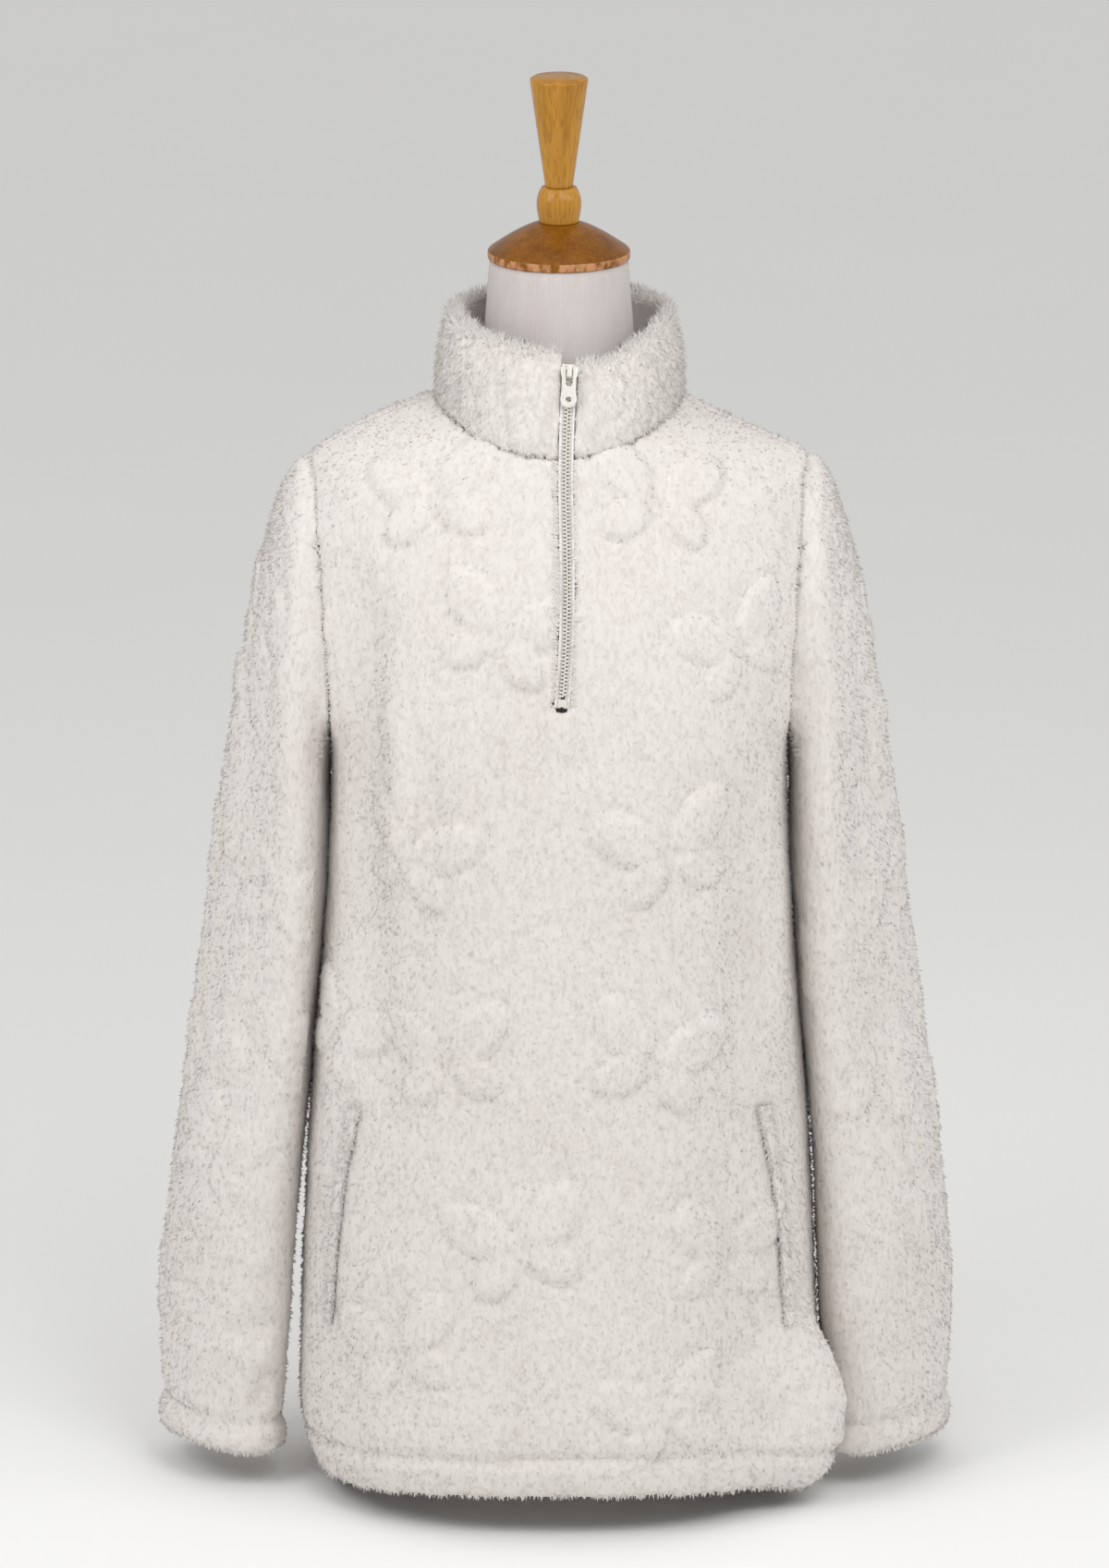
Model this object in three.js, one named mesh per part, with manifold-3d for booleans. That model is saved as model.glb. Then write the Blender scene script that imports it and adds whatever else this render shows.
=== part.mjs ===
// Sherpa fleece quarter-zip pullover, worn by a limbless countertop dress form.
// Millimetres, +Z up, the front faces -Y, and the wearer's left is +X.
// The origin is on the ground, under the middle of the neck.
import * as THREE from "three";
import { mergeVertices } from "three/addons/utils/BufferGeometryUtils.js";
import Module from "manifold-3d";

const wasm = await Module();
wasm.setup();

// ---- Driving dimensions ----
const WALL = 5; // fleece: backing and pile
const COLLAR_WALL = 9.6; // the collar is fleece folded double
const COLLAR_THINNING = 2; // how much thinner the rim is
const SEAM_GAP = 0.3; // between neighbouring pieces
const ARMHOLE_GAP = 0.8;
const FORM_GAP = 0.9; // between the form's shoulders and the fleece on them
const FRONT = -1;
const BACK = 1;

const ZIP_SLOT_WIDTH = 10.6;
const ZIP_BOTTOM_Z = 584;
const ZIP_TOP_Z = 809;
const SLOT_PAST_RIM = 24;
const PAST_RIM = new THREE.Vector3(0, 7, 22); // from the rim to the end of the zip's own curve
const CHAIN_WIDTH = 5.2;
const STOP_LENGTH = 5;
const STOP_WIDTH = 6;
const STOP_RISE = 1.5; // from the tape's lower end
const RIM_STEP = 4; // how much lower the tape ends on the +X side, under the lower rim
const SLIDER_Z = 803.5;
const SLOT_DEPTH = [-24, 14]; // how far the slot for the zip cuts in and out from the cloth's face
const TAPE_ACROSS = [1.3, 4.9];
const TAPE_HEIGHT = [-3.4, -2.4]; // heights off the cloth's face
const CHAIN_HEIGHT = [-2.1, 0.6];
const STOP_HEIGHT = [-2.1, 1];
const SLIDER = { length: 9.6, topWidth: 8.6, bottomWidth: 7, wing: 1.2, lowWing: -4.9, corner: 2 };
const SLIDER_POST = { width: 1.9, depth: 2.2, fromTop: 1.4 };
const BRIDGE = { width: 3.2, thickness: 0.9, from: -4.4, to: 4.4, height: 4.2, sink: 0.3, corner: 1.6 };
const AXLE = { y: 1.6, height: 4.1 };
const TAB = { length: 27.5, thickness: 1.6, shoulder: 5.9, top: 1.3, waist: 4.4, endRadius: 5.5 };
const TAB_FORK = { halfWidth: 2.4, top: -0.8, bottom: -9.6 };
const TAB_EYELET = 1.9;
const TAB_TILT = 4; // degrees that the hanging tab leans in from the slider's own slope

const POCKET_EDGE_WIDTH = 9;
const POCKET_EDGE_HEIGHT = 3.2;
const FAR_OUT = 90; // a start for rays, outside the body
const POCKET_EDGE_LIFT = 0.95; // clear of the facets between its own points

const FOOT = { halfWidth: 118, halfDepth: 78, centreY: 25, height: 12 };
const NECK_TOP_Z = 863.7;
const CAP = { radius: 48, rim: 6.4, edge: 0.7, domeRadius: 13.2, height: 25, domeTurn: 0.36 * Math.PI };
const BEAD = { height: 23.5, bottomRadius: 13.4, bulge: 2.3, topRadius: 10.4 };
const HANDLE = { height: 75, bottomRadius: 9.3, topRadius: 19.6, edge: 2.4 };

const FLEECE = { color: 0xe7e2de, roughness: 0.95 };
const ZIP_PLASTIC = { color: 0xece8e2, roughness: 0.4 };
const JERSEY = { color: 0xd2cac6, roughness: 0.9 };
const WOOD = { color: 0xb07c33, roughness: 0.3 };

// A short table: one object for each row, keyed by the column names.
function table(columns, rows) {
  const named = (row) => Object.fromEntries(columns.map((name, i) => [name, row[i]]));
  return rows.map(named);
}

// Level rings of the body, hem to neckline. Each ring is an oval of half width xOval and of
// the given front and back depths, cut off at xEdge, where the side seam, armhole or
// shoulder seam runs. It passes zFront and zBack at the middle and zEdge at its edges.
const BODY_ROWS = table(
  ["xEdge", "xOval", "front", "back", "zEdge", "zFront", "zBack", "power"],
  [
    [169, 169, 147, 137, 15, 32, 24, 2.3],
    [180, 180, 150, 140, 50, 66, 58, 2.3],
    [179, 179, 148, 138, 105, 114, 110, 2.3],
    [176, 176, 143, 133, 190, 192, 192, 2.3],
    [171, 171, 139, 129, 280, 278, 280, 2.35],
    [161, 161, 134, 124, 400, 392, 396, 2.5],
    [156, 156, 132, 121, 485, 470, 480, 2.7],
    [155, 155, 131, 119, 520, 503, 512, 2.8],
    [157, 168, 130, 117, 560, 540, 552, 2.45],
    [160, 177, 127, 116, 620, 590, 612, 2.2],
    [163, 177, 120, 112, 680, 641, 668, 2.05],
    [165, 171, 111, 104, 719, 678, 704, 1.95],
    [166, 166, 105, 98, 732, 700, 722, 1.9],
    [138, 138, 101, 90, 746, 719, 740, 1.92],
    [108, 108, 98, 82, 759, 735, 755, 1.96],
    [83, 83, 95, 75, 769, 748, 766, 2],
  ],
);
const SHOULDER_SWAG = { neckX: 83, tipX: 166, fromZ: 680, toZ: 740, depth: 3 };
const ARMPIT_ROW = 7;
const SHOULDER_ROW = 12;
const NECKLINE_ROW = BODY_ROWS.length - 1;

// Long soft folds. Angles are in degrees round the body from the middle of the panel,
// towards +X. A trough has a negative depth and a ridge a positive one.
const FOLDS = table(
  ["side", "angleTop", "zTop", "angleBottom", "zBottom", "width", "depth"],
  [
    [FRONT, -60, 630, -51, 320, 8, -8],
    [FRONT, -47, 600, -45, 420, 6, 4],
    [FRONT, -38, 590, -52, 330, 6, -4],
    [FRONT, 52, 470, 53, 300, 8, -7],
    [FRONT, 63, 560, 63, 330, 6, 4],
    [FRONT, 46, 240, 50, 140, 12, -6],
    [FRONT, 67, 84, 66, 54, 8, 40],
    [BACK, -56, 600, -48, 250, 8, -7],
    [BACK, -24, 420, -30, 30, 12, -7],
    [BACK, 12, 560, 6, 60, 14, 5],
    [BACK, 34, 470, 42, 60, 10, -8],
    [BACK, 60, 580, 56, 200, 8, 5],
  ],
);
const FOLD_FADE = 80; // length over which a fold dies away above and below

// Rings of a sleeve below the armhole, for the +X side. The outer and the inner points are
// the ring's ends seen from the front, and lean turns its front towards the inner end.
const SLEEVE_ROWS = table(
  ["xOuter", "zOuter", "xInner", "zInner", "yCentre", "depth", "lean"],
  [
    [179, 721, 159.5, 506, 0, 64, 0.05],
    [191, 694, 160, 482, 0, 66, 0.15],
    [203, 652, 161, 455, 0, 66, 0.25],
    [213, 606, 163, 428, 0, 65, 0.35],
    [221, 563, 165.5, 398, 1, 64, 0.42],
    [232, 482, 169, 348, 2, 62, 0.47],
    [248, 363, 175, 280, 3, 60, 0.5],
    [263, 263, 180, 212, 3, 58, 0.5],
    [273, 185, 183, 150, 3, 56, 0.5],
    [279, 115, 185, 98, 3, 54, 0.48],
    [275, 62, 188, 60, 2, 50, 0.44],
    [277, 30, 187, 27, 2, 52, 0.42],
  ],
);

const SLEEVE_FREE_ROW = 4; // from this ring down the sleeve hangs free of the shoulder
// How much further out each sleeve hangs than its rings say, all along and at the cuff.
const SLEEVE_SPREAD = { left: [-2, -1.5], right: [-0.5, 3] };

// Rings of the collar's outer face, base to rim.
const COLLAR_ROWS = table(
  ["xEdge", "front", "back", "zEdge", "zFront", "zBack"],
  [
    [83.2, 94.8, 75.2, 769.5, 748.5, 766.5],
    [83.6, 91, 77, 782, 762, 780],
    [82.2, 83, 78, 801, 788, 805],
    [79, 75.5, 77, 819, 808, 822],
    [74, 71, 74, 828, 815, 831],
  ],
);
const COLLAR_LEAN = 1.7; // how far the rim stands off to +X
const RIM_DIP = { depth: 10, centreX: 28, reach: 30 }; // the rim is lower on the +X side of the zip

// How far the zip's centre line strays to +X at each height.
const ZIP_WANDER = table(
  ["z", "x"],
  [
    [570, 0.5],
    [610, 4],
    [660, 5.5],
    [735, 4.5],
    [775, 5.5],
    [806, 7],
    [830, 7.5],
  ],
);

// Pocket openings on the +X side: where the turned edge starts, bends and ends.
const POCKET_LINE = table(
  ["x", "z"],
  [
    [138, 293],
    [147, 245],
    [153, 190],
    [157, 136],
  ],
);

// Rings of the form below the shoulders and of its neck above them.
const TORSO_ROWS = table(
  ["xEdge", "front", "back", "zEdge", "zFront", "zBack", "power"],
  [
    [100, 46, 80, FOOT.height + SEAM_GAP, FOOT.height + SEAM_GAP, FOOT.height + SEAM_GAP, 2.2],
    [108, 56, 86, 18, 18, 18, 2.2],
    [126, 78, 95, 44, 44, 44, 2.2],
    [138, 92, 100, 110, 110, 110, 2.2],
    [136, 95, 97, 200, 200, 200, 2.2],
    [116, 90, 86, 300, 300, 300, 2.1],
    [106, 87, 82, 370, 370, 370, 2.1],
    [116, 96, 88, 440, 440, 440, 2.1],
    [132, 110, 97, 520, 520, 520, 2.2],
    [140, 112, 100, 580, 575, 580, 2.2],
    [145, 104, 99, 650, 632, 645, 2.1],
  ],
);
const UNDER_FLEECE_LEVELS = [12.65, 13, 13.5, 14, 14.5, 14.9]; // rings of the form's shoulders
const NECK_ROWS = table(
  ["xEdge", "front", "back", "zEdge", "zFront", "zBack", "power"],
  [
    [66, 73, 59, 768, 754, 767, 2],
    [57, 62, 53.5, 779, 768, 778, 2],
    [52, 54, 51.5, 796, 788, 796, 2],
    [50.6, 51, 50.6, 812, 809, 812, 2],
    [48.6, 48.6, 48.6, 838, 838, 838, 2],
    [46.8, 46.8, 46.8, NECK_TOP_Z, NECK_TOP_Z, NECK_TOP_Z, 2],
  ],
);

// ---- Surfaces ----
// A point of one ring at u, which runs from -1 to 1 across the front or the back half.
function ringPoint(row, u, side) {
  const power = row.power ?? 2;
  const xOval = row.xOval ?? row.xEdge;
  const depth = side === FRONT ? row.front : row.back;
  const zMiddle = side === FRONT ? row.zFront : row.zBack;
  const angle = u * Math.asin(Math.min(1, (row.xEdge / xOval) ** (power / 2)));
  const across = Math.abs(Math.sin(angle)) ** (2 / power);
  const x = xOval * Math.sign(u) * across;
  const y = side * depth * Math.max(0, Math.cos(angle)) ** (2 / power);
  const z = zMiddle + (row.zEdge - zMiddle) * (x / row.xEdge) ** 2;
  return new THREE.Vector3(x, y, z);
}

// The curve up the body through every ring at one u.
function bodyCurve(u, side) {
  const points = BODY_ROWS.map((row) => ringPoint(row, u, side));
  return new THREE.CatmullRomCurve3(points, false, "centripetal");
}

// The body without its folds. The shoulders slope unevenly: hollow on the +X side.
function bodySmooth(t, u, side) {
  const point = bodyCurve(u, side).getPoint(THREE.MathUtils.clamp(t / NECKLINE_ROW, 0, 1));
  const { neckX, tipX, fromZ, toZ, depth } = SHOULDER_SWAG;
  const across = THREE.MathUtils.clamp((Math.abs(point.x) - neckX) / (tipX - neckX), 0, 1);
  const high = THREE.MathUtils.smoothstep(point.z, fromZ, toZ);
  point.z -= Math.sign(point.x) * depth * Math.sin(Math.PI * across) * high;
  return point;
}

// Unit normal of a surface given as a function of two parameters.
function normalAt(surface, a, b, step = 0.004) {
  const da = surface(a + step, b).sub(surface(a - step, b));
  const db = surface(a, b + step).sub(surface(a, b - step));
  return da.cross(db).normalize();
}

function bodyNormal(t, u, side) {
  const inside = THREE.MathUtils.clamp(u, -0.995, 0.995);
  const surface = (a, b) => bodySmooth(b, a, side);
  const level = THREE.MathUtils.clamp(t, 0.01, NECKLINE_ROW - 0.01);
  const normal = normalAt(surface, inside, level);
  if (side === BACK) normal.negate();
  const seam = Math.abs(u) === 1 && (t <= ARMPIT_ROW || t >= SHOULDER_ROW);
  if (seam) normal.setY(0).normalize();
  return normal;
}

// How far the folds move a point of the body out along its normal.
function foldDepth(point, u, side) {
  const angle = THREE.MathUtils.radToDeg(Math.atan2(point.x, Math.abs(point.y)));
  let depth = 0;
  for (const fold of FOLDS.filter((f) => f.side === side)) {
    const along = (fold.zTop - point.z) / (fold.zTop - fold.zBottom);
    const held = THREE.MathUtils.clamp(along, 0, 1);
    const centre = THREE.MathUtils.lerp(fold.angleTop, fold.angleBottom, held);
    const past = Math.abs(along - held) * (fold.zTop - fold.zBottom);
    const fade = Math.exp(-((past / (FOLD_FADE / 2)) ** 2));
    depth += fold.depth * fade * Math.exp(-(((angle - centre) / fold.width) ** 2));
  }
  return depth * (1 - Math.abs(u) ** 8);
}

function bodyPoint(t, u, side) {
  const point = bodySmooth(t, u, side);
  return point.addScaledVector(bodyNormal(t, u, side), foldDepth(point, u, side));
}

// Levels where both panels and the sleeve have points, so that their edges match.
const ARMHOLE_LEVELS = [ARMPIT_ROW, 7.4, 8, 8.75, 9.5, 10.25, 11, 11.6, 11.88, SHOULDER_ROW];
const armholeShare = (t) => (t - ARMPIT_ROW) / (SHOULDER_ROW - ARMPIT_ROW);

// The armhole's edge at an angle round the sleeve: 0 at the shoulder, PI at the armpit,
// by way of the front.
function armholePoint(angle) {
  const side = angle <= Math.PI ? FRONT : BACK;
  const up = (1 + Math.cos(angle)) / 2;
  const level = ARMPIT_ROW + (SHOULDER_ROW - ARMPIT_ROW) * up;
  const point = bodySmooth(level, 1, side).add(new THREE.Vector3(ARMHOLE_GAP, 0, 0));
  return { point, normal: bodyNormal(level, 1, side), up };
}

function sleeveRingPoint(row, angle) {
  const halfX = (row.xOuter - row.xInner) / 2;
  const halfZ = (row.zOuter - row.zInner) / 2;
  const x = (row.xOuter + row.xInner) / 2 + halfX * Math.cos(angle);
  const z = (row.zOuter + row.zInner) / 2 + halfZ * Math.cos(angle);
  const y = row.yCentre - row.depth * Math.cos(angle - Math.acos(-row.lean));
  return new THREE.Vector3(x, y, z);
}

function sleevePoint(t, angle, spread) {
  const turned = (angle + 2 * Math.PI) % (2 * Math.PI);
  const rings = SLEEVE_ROWS.map((row, i) => {
    const hung = Math.min(1, (i + 1) / SLEEVE_FREE_ROW);
    const out = spread[0] * hung + spread[1] * (i / (SLEEVE_ROWS.length - 1)) ** 4;
    return sleeveRingPoint(row, turned).add(new THREE.Vector3(out, 0, 0));
  });
  const points = [armholePoint(turned).point, ...rings];
  const curve = new THREE.CatmullRomCurve3(points, false, "centripetal");
  return curve.getPoint(THREE.MathUtils.clamp(t / SLEEVE_ROWS.length, 0, 1));
}

// A point of the collar's outer face. The angle is 0 at the middle of the front.
function collarPoint(t, angle) {
  const side = Math.cos(angle) >= 0 ? FRONT : BACK;
  const u = Math.asin(Math.sin(angle)) / (Math.PI / 2);
  const points = COLLAR_ROWS.map((row) => ringPoint(row, u, side));
  const curve = new THREE.CatmullRomCurve3(points, false, "centripetal");
  const point = curve.getPoint(THREE.MathUtils.clamp(t, 0, 1));
  const beyondZip = THREE.MathUtils.smoothstep(point.x, 4, 12);
  const dip = side === FRONT ? Math.exp(-(((point.x - RIM_DIP.centreX) / RIM_DIP.reach) ** 2)) : 0;
  point.z -= RIM_DIP.depth * beyondZip * dip * t ** 2;
  point.x += COLLAR_LEAN * t;
  return point;
}

// ---- Closed solids from grids ----
// Turns the faces out if the solid came out inside out.
function facingOut(geometry) {
  const position = geometry.attributes.position;
  const corner = (i) => new THREE.Vector3().fromBufferAttribute(position, geometry.index.getX(i));
  let volume = 0;
  for (let i = 0; i < geometry.index.count; i += 3) {
    volume += corner(i).dot(corner(i + 1).cross(corner(i + 2)));
  }
  if (volume < 0) geometry.index.array.reverse();
  return geometry;
}

function geometryFrom(points, triangles) {
  const geometry = new THREE.BufferGeometry().setFromPoints(points);
  geometry.setIndex(triangles.flat());
  return facingOut(geometry);
}

// A wall between two grids of points, outer and inner, given as rows. A round wall closes
// on itself along each row.
function wallGeometry(outer, inner, round) {
  const rows = outer.length;
  const columns = outer[0].length;
  const last = round ? columns : columns - 1;
  const out = (i, j) => i * columns + (j % columns);
  const into = (i, j) => rows * columns + out(i, j);
  const triangles = [];
  const quad = (a, b, c, d) => triangles.push([a, b, c], [a, c, d]);
  for (let i = 0; i < rows - 1; i++) {
    for (let j = 0; j < last; j++) {
      quad(out(i, j), out(i, j + 1), out(i + 1, j + 1), out(i + 1, j));
      quad(into(i, j), into(i + 1, j), into(i + 1, j + 1), into(i, j + 1));
    }
  }
  for (let j = 0; j < last; j++) {
    quad(out(0, j), into(0, j), into(0, j + 1), out(0, j + 1));
    quad(out(rows - 1, j), out(rows - 1, j + 1), into(rows - 1, j + 1), into(rows - 1, j));
  }
  if (!round) {
    for (let i = 0; i < rows - 1; i++) {
      quad(out(i, 0), out(i + 1, 0), into(i + 1, 0), into(i, 0));
      quad(out(i, last), into(i, last), into(i + 1, last), out(i + 1, last));
    }
  }
  return geometryFrom([...outer.flat(), ...inner.flat()], triangles);
}

// A solid through a stack of rings, with a flat end at the first and the last.
function stackGeometry(rings) {
  const columns = rings[0].length;
  const at = (i, j) => i * columns + (j % columns);
  const triangles = [];
  for (let i = 0; i < rings.length - 1; i++) {
    for (let j = 0; j < columns; j++) {
      triangles.push([at(i, j), at(i, j + 1), at(i + 1, j + 1)]);
      triangles.push([at(i, j), at(i + 1, j + 1), at(i + 1, j)]);
    }
  }
  for (let j = 1; j < columns - 1; j++) {
    triangles.push([at(0, 0), at(0, j + 1), at(0, j)]);
    triangles.push([at(rings.length - 1, 0), at(rings.length - 1, j), at(rings.length - 1, j + 1)]);
  }
  return geometryFrom(rings.flat(), triangles);
}

const spaced = (from, to, steps) =>
  Array.from({ length: steps + 1 }, (_, i) => from + ((to - from) * i) / steps);

// Points moved along the normals of the grid they make.
function insetGrid(surface, normals, thickness) {
  return surface.map((row, i) =>
    row.map((point, j) => point.clone().addScaledVector(normals[i][j], -thickness)),
  );
}

// ---- Booleans ----
function solidOf(geometry) {
  const bare = geometry.clone();
  bare.deleteAttribute("normal");
  bare.deleteAttribute("uv");
  const merged = mergeVertices(bare, 1e-4);
  const vertProperties = new Float32Array(merged.attributes.position.array);
  const triVerts = new Uint32Array(merged.index.array);
  return new wasm.Manifold(new wasm.Mesh({ numProp: 3, vertProperties, triVerts }));
}

function geometryOf(solid) {
  const mesh = solid.getMesh();
  const geometry = new THREE.BufferGeometry();
  geometry.setAttribute("position", new THREE.BufferAttribute(mesh.vertProperties, 3));
  geometry.setIndex(new THREE.BufferAttribute(mesh.triVerts, 1));
  return geometry;
}

const cut = (geometry, tool) => geometryOf(solidOf(geometry).subtract(solidOf(tool)));
const join = (...parts) => geometryOf(parts.map(solidOf).reduce((sum, part) => sum.add(part)));

function named(name, geometry, finish) {
  const material = new THREE.MeshStandardMaterial({ metalness: 0, ...finish });
  const mesh = new THREE.Mesh(geometry, material);
  mesh.name = name;
  return mesh;
}

// ---- Zip path ----
// The middle of the front from below the zip to above the rim, as a curve on the outer face.
const zipCurve = (() => {
  const middle = [
    ...spaced(ARMPIT_ROW + 1, NECKLINE_ROW, 14).map((t) => bodySmooth(t, 0, FRONT)),
    ...spaced(0.15, 1, 5).map((t) => collarPoint(t, 0)),
  ];
  const rim = middle.at(-1);
  middle.push(rim.clone().add(PAST_RIM));
  const wander = new THREE.CatmullRomCurve3(
    ZIP_WANDER.map((row) => new THREE.Vector3(row.x, 0, row.z)),
  );
  const steps = wander.getPoints(60);
  const strayed = middle.map((point) => {
    const near = steps.reduce((a, b) => (Math.abs(b.z - point.z) < Math.abs(a.z - point.z) ? b : a));
    return new THREE.Vector3(near.x, point.y, point.z);
  });
  return new THREE.CatmullRomCurve3(strayed, false, "centripetal");
})();

// Place on the zip's centre line at a height: the point, the way up it, across and out.
function zipFrame(z) {
  let low = 0;
  let high = 1;
  for (let i = 0; i < 30; i++) {
    const middle = (low + high) / 2;
    if (zipCurve.getPoint(middle).z < z) low = middle;
    else high = middle;
  }
  const up = zipCurve.getTangent(low);
  const across = new THREE.Vector3(1, 0, 0).addScaledVector(up, -up.x).normalize();
  const out = across.clone().cross(up).normalize();
  return { point: zipCurve.getPoint(low), up, across, out };
}

// A flat strip along the zip, between two offsets across it and two heights off the cloth.
function zipStrip(zFrom, zTo, across, height, steps = 20) {
  const corners = [
    [across[0], height[0]],
    [across[1], height[0]],
    [across[1], height[1]],
    [across[0], height[1]],
  ];
  const rings = spaced(zFrom, zTo, steps).map((z) => {
    const frame = zipFrame(z);
    return corners.map(([a, h]) =>
      frame.point.clone().addScaledVector(frame.across, a).addScaledVector(frame.out, h),
    );
  });
  return stackGeometry(rings);
}

const zipSlot = zipStrip(
  ZIP_BOTTOM_Z - 2 * SEAM_GAP,
  ZIP_TOP_Z + SLOT_PAST_RIM,
  [-ZIP_SLOT_WIDTH / 2, ZIP_SLOT_WIDTH / 2],
  SLOT_DEPTH,
  24,
);

// ---- Garment pieces ----
// Front or back panel: the outer face, and the inner face a wall's thickness in.
function panel(side, columns, levels) {
  const us = spaced(-1, 1, columns);
  const shift = new THREE.Vector3(0, (side * SEAM_GAP) / 2, 0);
  const outer = levels.map((t) => us.map((u) => bodyPoint(t, u, side).add(shift)));
  const normals = levels.map((t) => us.map((u) => bodyNormal(t, u, side)));
  return wallGeometry(outer, insetGrid(outer, normals, WALL), false);
}

const SHOULDER_LEVELS = spaced(SHOULDER_ROW + 1, NECKLINE_ROW, 2);
const frontLevels = [...spaced(0, ARMPIT_ROW - 1, 12), ...ARMHOLE_LEVELS, ...SHOULDER_LEVELS];
const backLevels = [0, 1, 2, 2.5, 3, 3.5, 4, 4.5, 5, 6, ...ARMHOLE_LEVELS, ...SHOULDER_LEVELS];
// The front goes from the neck down, so that its armhole facets split as the sleeve's do.
const frontPanel = () => cut(panel(FRONT, 32, frontLevels.toReversed()), zipSlot);
const backPanel = () => panel(BACK, 26, backLevels);

function sleeve(side) {
  const spread = side > 0 ? SLEEVE_SPREAD.left : SLEEVE_SPREAD.right;
  const half = ARMHOLE_LEVELS.map((t) => Math.acos(2 * armholeShare(t) - 1));
  const angles = [...half.toReversed(), ...half.slice(1, -1).map((angle) => 2 * Math.PI - angle)];
  const levels = [...spaced(0, 6, 8), ...spaced(6, SLEEVE_ROWS.length, 8).slice(1)];
  const surface = (t, a) => sleevePoint(t, a, spread);
  const outer = levels.map((t) => angles.map((a) => surface(t, a)));
  const inset = (t) => THREE.MathUtils.clamp(t, 0.05, SLEEVE_ROWS.length - 0.05);
  const normals = levels.map((t) => angles.map((a) => normalAt(surface, inset(t), a, 0.02)));
  const centre = (i) => outer[i].reduce((sum, p) => sum.add(p), new THREE.Vector3());
  levels.forEach((_, i) => {
    const middle = centre(i).divideScalar(angles.length);
    normals[i].forEach((normal, j) => {
      if (outer[i][j].clone().sub(middle).dot(normal) < 0) normal.negate();
    });
  });
  // The sleeve's edge lies flat against the armhole's, except under the arm.
  angles.forEach((angle, j) => {
    const armhole = armholePoint(angle);
    normals[0][j].lerp(armhole.normal, THREE.MathUtils.smoothstep(armhole.up, 0, 0.25)).normalize();
  });
  const geometry = wallGeometry(outer, insetGrid(outer, normals, WALL), true);
  if (side < 0) {
    geometry.scale(-1, 1, 1);
    facingOut(geometry);
  }
  return geometry;
}

function collar() {
  const angles = spaced(-Math.PI, Math.PI, 40).slice(0, -1);
  const levels = spaced(0, 1, 5);
  const outer = levels.map((t) => angles.map((a) => collarPoint(t, a)));
  const inner = levels.map((t) =>
    angles.map((a) => {
      const point = collarPoint(t, a);
      const inward = new THREE.Vector3(-point.x, -point.y, 0).normalize();
      return point.addScaledVector(inward, COLLAR_WALL - COLLAR_THINNING * t ** 3);
    }),
  );
  return cut(wallGeometry(outer, inner, true), zipSlot);
}

// The turned edge of a pocket opening: a strip that lies on the front panel's own facets.
function pocketEdge(side, frontMesh) {
  const line = new THREE.CatmullRomCurve3(
    POCKET_LINE.map((row) => new THREE.Vector3(side * row.x, 0, row.z)),
  );
  const ray = new THREE.Raycaster();
  const onCloth = (from, towards) => {
    ray.set(from.clone().addScaledVector(towards, -FAR_OUT), towards);
    return ray.intersectObject(frontMesh)[0].point;
  };
  const rings = line.getPoints(18).map((p) => {
    const outward = new THREE.Vector3(p.x, -BODY_ROWS[0].front, 0).normalize();
    const inward = outward.clone().negate();
    const start = onCloth(new THREE.Vector3(p.x, -FAR_OUT, p.z), new THREE.Vector3(0, 1, 0));
    const across = new THREE.Vector3(0, 0, 1).cross(outward).normalize();
    const lifted = (share, height) =>
      onCloth(start.clone().addScaledVector(across, share * POCKET_EDGE_WIDTH), inward)
        .addScaledVector(outward, POCKET_EDGE_LIFT + height);
    return [
      lifted(-0.5, 0),
      lifted(0, 0),
      lifted(0.5, 0),
      lifted(0.5, POCKET_EDGE_HEIGHT * 0.6),
      lifted(0, POCKET_EDGE_HEIGHT),
      lifted(-0.5, POCKET_EDGE_HEIGHT * 0.6),
    ];
  });
  return stackGeometry(rings);
}

// ---- Zip pieces ----
const stopFromZ = ZIP_BOTTOM_Z + STOP_RISE;
const zipTape = (side) => {
  const across = side < 0 ? TAPE_ACROSS.map((x) => -x).toReversed() : TAPE_ACROSS;
  const topZ = side < 0 ? ZIP_TOP_Z : ZIP_TOP_Z - RIM_STEP;
  return zipStrip(ZIP_BOTTOM_Z, topZ, across, TAPE_HEIGHT);
};
const zipChain = () => {
  const across = [-CHAIN_WIDTH / 2, CHAIN_WIDTH / 2];
  return zipStrip(stopFromZ + STOP_LENGTH + SEAM_GAP, SLIDER_Z + AXLE.y, across, CHAIN_HEIGHT);
};
const zipStop = () => {
  const across = [-STOP_WIDTH / 2, STOP_WIDTH / 2];
  return zipStrip(stopFromZ, stopFromZ + STOP_LENGTH, across, STOP_HEIGHT, 2);
};

// The slider's own frame: X across, Y up the zip, Z out of the cloth, 0 at the cloth's face.
function sliderMatrix() {
  const frame = zipFrame(SLIDER_Z);
  const matrix = new THREE.Matrix4().makeBasis(frame.across, frame.up, frame.out);
  return matrix.setPosition(frame.point);
}

const wingBase = CHAIN_HEIGHT[1] + 0.4;

// A flat plate of the given outline, between two heights.
function plate(shape, from, to) {
  const geometry = new THREE.ExtrudeGeometry(shape, { depth: to - from, bevelEnabled: false });
  return geometry.translate(0, 0, from);
}

function sliderOutline() {
  const half = SLIDER.length / 2;
  const top = SLIDER.topWidth / 2;
  const { corner } = SLIDER;
  const shape = new THREE.Shape();
  shape.moveTo(-SLIDER.bottomWidth / 2, -half);
  shape.lineTo(SLIDER.bottomWidth / 2, -half);
  shape.lineTo(top, half - corner);
  shape.quadraticCurveTo(top, half, top - corner, half);
  shape.lineTo(corner - top, half);
  shape.quadraticCurveTo(-top, half, -top, half - corner);
  shape.closePath();
  return shape;
}

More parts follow.
